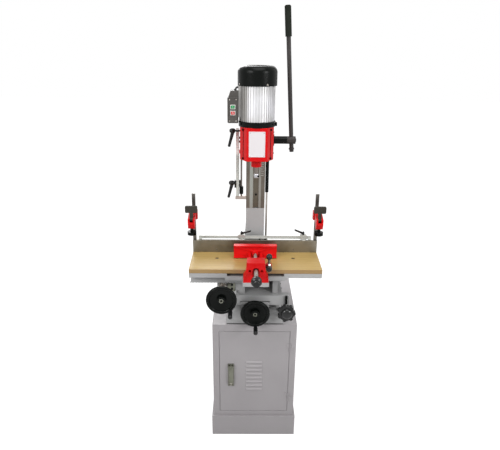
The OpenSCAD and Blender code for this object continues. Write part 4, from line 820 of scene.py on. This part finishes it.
# %% Fit the motor's screws
cap_foot = side_middle("motor_cap", low_z)
first_angle, quarter = -62, 90
for number in range(4):
    out = around(first_angle + number * quarter)
    spot = cap_foot + out * (cap_radius - sunk) + up * 7 * mm
    settle(cap_screw(3.2, 2.2, spot, out), f"cap_screw_{number + 1}", bar_steel, "head")
flange_spot = Vector((cap_foot.x, cap_foot.y, middle("motor_flange").z))
front_angle, sixth = -90, 60
for number in range(6):
    out = around(front_angle + number * sixth)
    spot = flange_spot + out * (cap_radius - 4.2 * mm)
    settle(cap_screw(4.2, 3.2, spot, out), f"flange_bolt_{number + 1}", gloss_black, "head")
flange = limits("motor_flange")
ear_spot = (flange[high_x] - 5.5 * mm, cap_foot.y, flange[high_z] - 7.2 * mm)
settle(hex_head(5, 5, ear_spot, up), "flange_ear_screw", bar_steel, "head")
print("motor fittings: grille, 4 cap screws, 7 flange screws")

# %% [markdown]
# ## Switch box
# The box has a cover held by four screws. Each button sits in a pale moulded frame, and carries the usual
# sign: a bar for on and a ring for off. The two leads come out through small glands, which keep them from
# being pulled.

# %% Fit the cover of the box
switch = limits("switch_box")
cover_edge, cover_thick, shoulder_drop = 3 * mm, 0.8 * mm, 24 * mm
screw_in = 5.5 * mm
cover_low = Vector((switch[low_x] + cover_edge, switch[front_y] - cover_thick, switch[low_z] + cover_edge))
cover_high = Vector((
    switch[high_x] - cover_edge, switch[front_y] + sunk, switch[high_z] - shoulder_drop - cover_edge
))
settle(frame_plate(cover_low, cover_high, 1.6 * mm), "switch_cover_seam", box_grey, "head")

screw_spots = corner_spots(cover_low, cover_high, screw_in, switch[front_y] + 0.1 * mm)
for number, spot in enumerate(screw_spots, start=1):
    settle(cap_screw(2.4, 1.2, spot, front), f"switch_screw_{number}", bar_steel, "head")
print("screws in the cover:", number)

# %% Frame the buttons and put their signs on
room, wall = 0.5 * mm, 2.4 * mm
around_button = room + wall
face_the_front = (math.pi / 2, 0, 0)
bar_half = Vector((0.7, 0, 3)) * mm
for node, sign_name in (("start_button", "sign_on"), ("stop_button", "sign_off")):
    button = limits(node)
    bezel = frame_plate(
        (button[low_x] - around_button, switch[front_y] - 1.5 * mm, button[low_z] - around_button),
        (button[high_x] + around_button, switch[front_y] + sunk, button[high_z] + around_button), wall
    )
    settle(rounded(bezel, 0.4), f"bezel_of_{node}", bezel_white, "head")
    spot = side_middle(node, front_y)
    if sign_name == "sign_on":
        sign = block(spot - bar_half + front * 0.25 * mm, spot + bar_half + back * 0.1 * mm, 0.1)
    else:
        sign = torus(2.7, 0.6, 32, spot, face_the_front)
    settle(sign, sign_name, bezel_white, node)
print("bezels: 2, signs: 2")

# %% Fit the glands of the leads
leads = limits("switch_leads")
lead_radius = 3 * mm
for number, y in enumerate((leads[front_y] + lead_radius, leads[back_y] - lead_radius), start=1):
    box_spot = (leads[low_x] + lead_radius, y, leads[low_z])
    rising = turned([(0, 5), (3, 5), (5.5, 3.6)], box_spot, up, sides=12)
    settle(rising, f"box_gland_{number}", black_resin, "head")
    motor_spot = (leads[high_x], y, leads[high_z] - lead_radius)
    entering = turned([(0, 5), (2, 5), (4, 3.6)], motor_spot, left, sides=12)
    settle(entering, f"motor_gland_{number}", black_resin, "head")
print("glands:", 2 * number)

# %% [markdown]
# ## Scales
# The ruler over the fence and the bar beside the column are read in millimetres. On the real strips the marks
# are etched and inked. Here one thin mark is modelled and repeated by an array modifier, with a longer one at
# every fifth and tenth millimetre and a number at every fiftieth.

# %% Helpers for marks and numbers
out_of_face = 0.1 * mm
edge_gap = 0.6 * mm
number_step = 50


def rows_of_marks(name, first, along, across, sizes, reach, body):
    """Rows of marks from first along the scale for reach millimetres; a longer mark reaches further across"""
    for every, length, thick in sizes:
        half = along * thick * mm / 2 + back * out_of_face
        mark = block(first - half + across * length * mm, first + half)
        row = mark.modifiers.new("row", "ARRAY")
        row.count = round(reach / every) + 1
        row.use_relative_offset = False
        row.use_constant_offset = True
        row.constant_offset_displace = along * every * mm
        bpy.ops.object.modifier_apply(modifier=row.name)
        settle(mark, f"{name}_marks_{every}", ink, body)


def row_of_numbers(name, first, along, end, size, body):
    """Numbers from 0 to below end that face the front, one at every number_step"""
    shapes = []
    for number in range(0, end, number_step):
        bpy.ops.object.text_add(location=first + along * number * mm, rotation=face_the_front)
        words = bpy.context.object
        words.data.body = str(number)
        words.data.size = size * mm
        words.data.extrude = 0.05 * mm
        words.data.resolution_u = 3
        words.data.align_x = "CENTER"
        bpy.ops.object.convert(target="MESH")
        shapes.append(bpy.context.object)
    settle(joined(shapes), name, ink, body)


print("numbers stand", number_step, "mm apart")

# %% Mark the ruler and the bar
ruler = limits("ruler_bar")
ruler_face = ruler[back_y] - 6 * mm
ruler_first = Vector((ruler[low_x] + 5 * mm, ruler_face, ruler[high_z] - edge_gap))
ruler_reach = (ruler[high_x] - ruler[low_x]) / mm - 10
ruler_sizes = ((1, 2.2, 0.2), (5, 3.6, 0.3), (10, 5.2, 0.45))  # at every, how long, how thick
rows_of_marks("ruler", ruler_first, right, -up, ruler_sizes, ruler_reach, "table")
ruler_zero = Vector((ruler_first.x + 20 * mm, ruler_face, ruler[high_z] - 11 * mm))
row_of_numbers("ruler_numbers", ruler_zero, right, 500, 4.6, "table")

bar = limits("scale_bar")
bar_first = Vector((bar[high_x] - edge_gap, bar[front_y], bar[low_z] + 4 * mm))
bar_reach = (bar[high_z] - bar[low_z]) / mm - 10
bar_sizes = ((1, 2.4, 0.2), (5, 3.8, 0.3), (10, 5.2, 0.45))
rows_of_marks("depth", bar_first, up, left, bar_sizes, bar_reach, "column")
bar_zero = Vector((bar[low_x] + 3.6 * mm, bar[front_y], bar_first.z + 8.5 * mm))
row_of_numbers("depth_numbers", bar_zero, up, 300, 4, "column")

# %% [markdown]
# ## Handwheels and knobs
# Each handwheel is fixed on its shaft by a round nut with a hexagon socket, which shows as a pale ring with a
# dark middle. The crank grips turn on shouldered screws: a dark collar shows where a grip meets the rim, and
# the screw's head closes its outer end. The lock knob has a polished dome in its middle.

# %% Fit the handwheels
for wheel, grip, shaft in (
    ("cross_wheel", "cross_grip", "cross_screw"), ("table_wheel", "table_grip", "table_pinion")
):
    hub = middle(wheel)
    hub.y = limits(shaft)[front_y]
    settle(cap_screw(8.6, 3.6, hub + back * sunk, front), f"{wheel}_nut", zinc_plate, wheel)
    socket = turned([(0, 4.5), (0.6, 4.5)], hub + front * 1.4 * mm, front, sides=6)
    settle(socket, f"{wheel}_socket", gloss_black, wheel)
    washer = turned([(0, 12), (2.2, 12), (3, 11)], hub + back * 1.4 * mm, front, sides=40)
    settle(washer, f"{wheel}_washer", gloss_black, wheel)
    grip_root = side_middle(grip, back_y) + back * 1.6 * mm
    settle(turned([(0, 7.4), (2.2, 7.4), (2.8, 6.8)], grip_root, front), f"{grip}_collar", gloss_black, wheel)
    grip_end = side_middle(grip, front_y) + back * sunk
    screw = turned([(0, 4.4), (0.8, 4.4), (1.5, 3)], grip_end, front, sides=24)
    settle(screw, f"{grip}_end", dome_black, grip)
print("handwheel fittings: 10")

# %% Fit the lock knob's dome and its guard
knob = side_middle("lock_knob", front_y)
dome_in = 4 * mm
dome = turned(
    [(0, 25), (2.5, 24.6), (5.5, 23), (8.5, 20), (11, 15.8), (12.8, 10.5), (13.7, 5.5), (14, 1.5)],
    knob + back * dome_in, front, sides=48
)
settle(dome, "lock_knob_dome", dome_black, "lock_knob")

saddle = limits("saddle")
guard_front, guard_thick, guard_half = saddle[front_y] + 10 * mm, 8.5 * mm, 5 * mm
guard = block(
    (knob.x - guard_half, guard_front, knob.z + 18 * mm),
    (knob.x + guard_half, guard_front + guard_thick, knob.z + 57 * mm), 1.5
)
settle(guard, "lock_guard", gloss_black, "saddle")
print("knob at x, z in mm:", round(knob.x / mm), round(knob.z / mm))

# %% [markdown]
# ## Ratchet levers
# The two clamping levers at the left have a zinc arm under a moulded skin. The skin swells around the hub and
# thins out towards the tip, so each lever gets a round cover over its hub and a tapering sleeve along its
# arm.

# %% Fit the skins of the ratchet levers
hub_in, hub_drop, arm_out = 30 * mm, 8 * mm, 9 * mm
along_the_arm = Vector((-16.5, 0, -62))
for lever_name in ("head_lever", "depth_lever"):
    lever = limits(lever_name)
    hub = Vector((lever[low_x] + hub_in, middle(lever_name).y, lever[high_z] - hub_drop))
    hub_skin = turned([(3, 8.4), (5, 10), (13, 10.8), (18, 10), (22, 7.4), (24.4, 3)], hub, left)
    arm_skin = turned(
        [(2, 8.2), (16, 7.4), (34, 6.4), (54, 5.8), (66, 5.8), (69, 4.4)],
        hub + left * arm_out, along_the_arm, sides=24
    )
    settle(joined([hub_skin, arm_skin]), f"{lever_name}_skin", black_resin, lever_name)
print("levers with a skin: 2")

# %% [markdown]
# ## Vise
# The screw's knob is moulded over its end in black. The quick-acting lever has a black ball, a black front
# button and a bright ring between, so the ball and the button are separate mouldings on the steel arm.

# %% Fit the vise's knob
sleeve = turned(
    [(0, 9.5), (0.4, 11.6), (1.8, 13.3), (17.4, 13.3), (22, 20.2), (23, 21), (34.4, 21), (39.4, 12.5)],
    side_middle("vise_screw", front_y) + front * 0.4 * mm, back, sides=48
)
settle(sleeve, "vise_knob_cover", black_resin, "vise_screw")
print("knob cover in mm:", round(sleeve.dimensions.x / mm), "across")

# %% Fit the ball, the button and the ring of the quick-acting lever
cam = limits("cam_lever")
cam_hub = side_middle("cam_lever", front_y)
cam_hub.z = cam[low_z] + 12.5 * mm
arm_foot = cam_hub + back * 13.5 * mm
bpy.ops.mesh.primitive_uv_sphere_add(
    segments=40, ring_count=20, radius=12.4 * mm, location=(arm_foot.x, arm_foot.y, cam[high_z] - 12 * mm)
)
settle(bpy.context.object, "cam_ball", black_resin, "cam_lever")
button = turned([(0, 9.6), (0.6, 11.2), (8.6, 11.6)], cam_hub + front * 0.4 * mm, back, sides=40)
settle(button, "cam_button", black_resin, "cam_lever")
collar = turned([(0, 7), (2, 8.2), (7, 6.6), (9, 5.4)], arm_foot + up * 11 * mm, up, sides=24)
settle(collar, "cam_arm_collar", chrome, "cam_lever")
print("fittings of the quick-acting lever: 3")

# %% [markdown]
# ## Screws of the table and the saddle
# The wooden board is held by countersunk screws, so that it can be replaced. The fence has a screw at each
# rib. The saddle's slides are adjusted by a row of set screws with lock nuts on their right side, and a small
# zinc plate covers the pinion's arm beside the left handwheel.

# %% Fit the table's screws
screw_share = 0.6
for side, side_name in ((-1, "left"), (1, "right")):
    spot = (side * screw_share * board[high_x], board[front_y] + 115 * mm, board[high_z] - 6.3 * mm)
    screw = turned([(0, 3), (3.6, 7.3), (4.4, 7.3)], spot, up, sides=24)
    settle(screw, f"board_screw_{side_name}", post_steel, "table")

fence = limits("fence")
fence_level = middle("fence").z - 6 * mm
for number, share in enumerate((-0.62, -0.22, 0.22, 0.62), start=1):
    spot = (share * fence[high_x], fence[front_y] + sunk, fence_level)
    settle(cap_screw(3.2, 0.9, spot, front), f"fence_screw_{number}", post_steel, "table")

clip_half = 4 * mm
for number, x in enumerate((20 * mm, 45 * mm), start=1):
    clip = block(
        (x - clip_half, fence[front_y] + 9.8 * mm, fence[high_z] - 7 * mm),
        (x + clip_half, ruler_face + sunk, ruler[high_z] - 11.6 * mm), 0.5
    )
    settle(clip, f"ruler_clip_{number}", gloss_black, "table")
print("screws in the board: 2, in the fence: 4, clips: 2")

# %% Fit the saddle's screws and the arm's cover
for number, depth in enumerate((53, 103, 153, 198), start=1):
    spot = (saddle[high_x] - 30 * mm - sunk, saddle[front_y] + depth * mm, saddle[low_z] + 50 * mm)
    settle(hex_head(6, 4, spot, right), f"gib_nut_{number}", bar_steel, "saddle")
    settle(cap_screw(3, 8, spot, right), f"gib_stem_{number}", gloss_black, "saddle")

arm = middle("table_wheel") + right * 36 * mm
arm.y = saddle[front_y] + 40 * mm
cover = block(arm + Vector((-17, -3.2, -32)) * mm, arm + Vector((17, 0.2, 12)) * mm, 0.8)
settle(cover, "arm_cover", zinc_plate, "saddle")
lip = block(arm + Vector((-15, -6, 7)) * mm, arm + Vector((15, -2.8, 12)) * mm, 0.6)
settle(lip, "arm_cover_lip", gloss_black, "saddle")
for number, drop in enumerate((1, 20), start=1):
    spot = arm + Vector((3, -3, -drop)) * mm
    settle(hex_head(5.4, 4.5, spot, front), f"arm_bolt_{number}", gloss_black, "saddle")

for number, x in enumerate((-70, 0, 70), start=1):
    spot = (x * mm, saddle[front_y] + 51 * mm + sunk, saddle[high_z] - 7 * mm)
    settle(cap_screw(3.4, 5, spot, front), f"carriage_screw_{number}", gloss_black, "table")
print("saddle fittings:", 8 + 4 + 3)

# %% [markdown]
# ## Column, tilt and cabinet
# The dark socket screws in the column's channel fix the ground ways. Behind, a large nut on the tilt shaft
# clamps the column at its angle. A thin dark strip under the base casting's front edge is a painted shadow
# between the base and the cabinet. The door closes against a small catch, and a nut holds each end of the gas
# spring.

# %% Fit the column's screws and the tilt nut
channel_x = 2.5 * mm
ways = limits("column_ways")
for number, share in enumerate((0.16, 0.42, 0.68), start=1):
    spot = (channel_x, ways[front_y] + 5.2 * mm, ways[low_z] + share * (ways[high_z] - ways[low_z]))
    settle(cap_screw(4.4, 3, spot, front), f"way_screw_{number}", gloss_black, "column")

pivot_end = side_middle("pivot_shaft", back_y)
washer = turned([(0, 33), (3, 33), (4, 32)], pivot_end + front * sunk, back, sides=48)
settle(washer, "pivot_washer", bar_steel, "column")
nut = hex_head(27, 13, pivot_end + back * 3 * mm, back)
settle(rounded(nut, 0.8), "pivot_nut", bar_steel, "column")
print("tilt nut at y", round(pivot_end.y, 3))

# %% Fit the shadow strip, the catch and the latch's screws
base = limits("base_casting")
shadow_strip_in = 1.5 * mm
# a dark strip that paints the shadow under the base casting's front edge
shadow_strip = block(
    (base[low_x] + shadow_strip_in, base[front_y] - 0.5 * mm, base[low_z] - sunk),
    (base[high_x] - shadow_strip_in, base[front_y] + 1 * mm, base[low_z] + 2.6 * mm), 0.3
)
settle(shadow_strip, "base_shadow_strip", lead_rubber, "cabinet")

latch = limits("latch_plate")
cabinet_front = latch[back_y]
latch_front = cabinet_front - 3 * mm
door_low = limits("cabinet_door")[low_z]
catch_left, catch_right, catch_thick = -16 * mm, 4 * mm, 1.2 * mm
catch = block(
    (catch_left, cabinet_front - catch_thick, door_low - 6.4 * mm),
    (catch_right, cabinet_front + sunk, door_low - 2.4 * mm), 0.5
)
settle(catch, "door_catch", cabinet_enamel, "cabinet")

latch_frame = frame_plate(
    (latch[low_x] + 1.5 * mm, latch_front - mm, latch[low_z] + 3 * mm),
    (latch[high_x] - 1.5 * mm, latch_front + sunk, latch[low_z] + 84 * mm), 2 * mm
)
settle(latch_frame, "latch_frame", post_steel, "door")
latch_x = middle("latch_plate").x
for level, level_name in ((latch[low_z] + 4 * mm, "low"), (latch[high_z] - 8.5 * mm, "high")):
    screw = cap_screw(2.4, 1.4, (latch_x, latch_front + sunk, level), front)
    settle(screw, f"latch_screw_{level_name}", bar_steel, "door")
lock_spot = (latch_x, latch_front, latch[low_z] + 16 * mm)
settle(turned([(0, 5.5), (1.4, 5.5), (2, 4.6)], lock_spot, front, sides=24), "latch_lock", bar_steel, "door")
print("latch front at y", round(latch_front, 3))

# %% Fit the gas spring's nuts and the feed lever's screw
gas_foot = side_middle("gas_rod", low_z)
settle(hex_head(8, 7, gas_foot - up * sunk, up), "gas_foot_nut", bar_steel, "column")
gas_top = Vector((gas_foot.x, gas_foot.y, limits("gas_cylinder")[high_z] - 6.4 * mm))
settle(hex_head(7.5, 6, gas_top, up), "gas_top_nut", bar_steel, "head")
lever_end = middle("feed_hub")
lever_end.x = limits("feed_lever")[high_x] - 0.3 * mm
settle(cap_screw(8, 3, lever_end, right), "lever_hub_screw", gloss_black, "feed_lever")
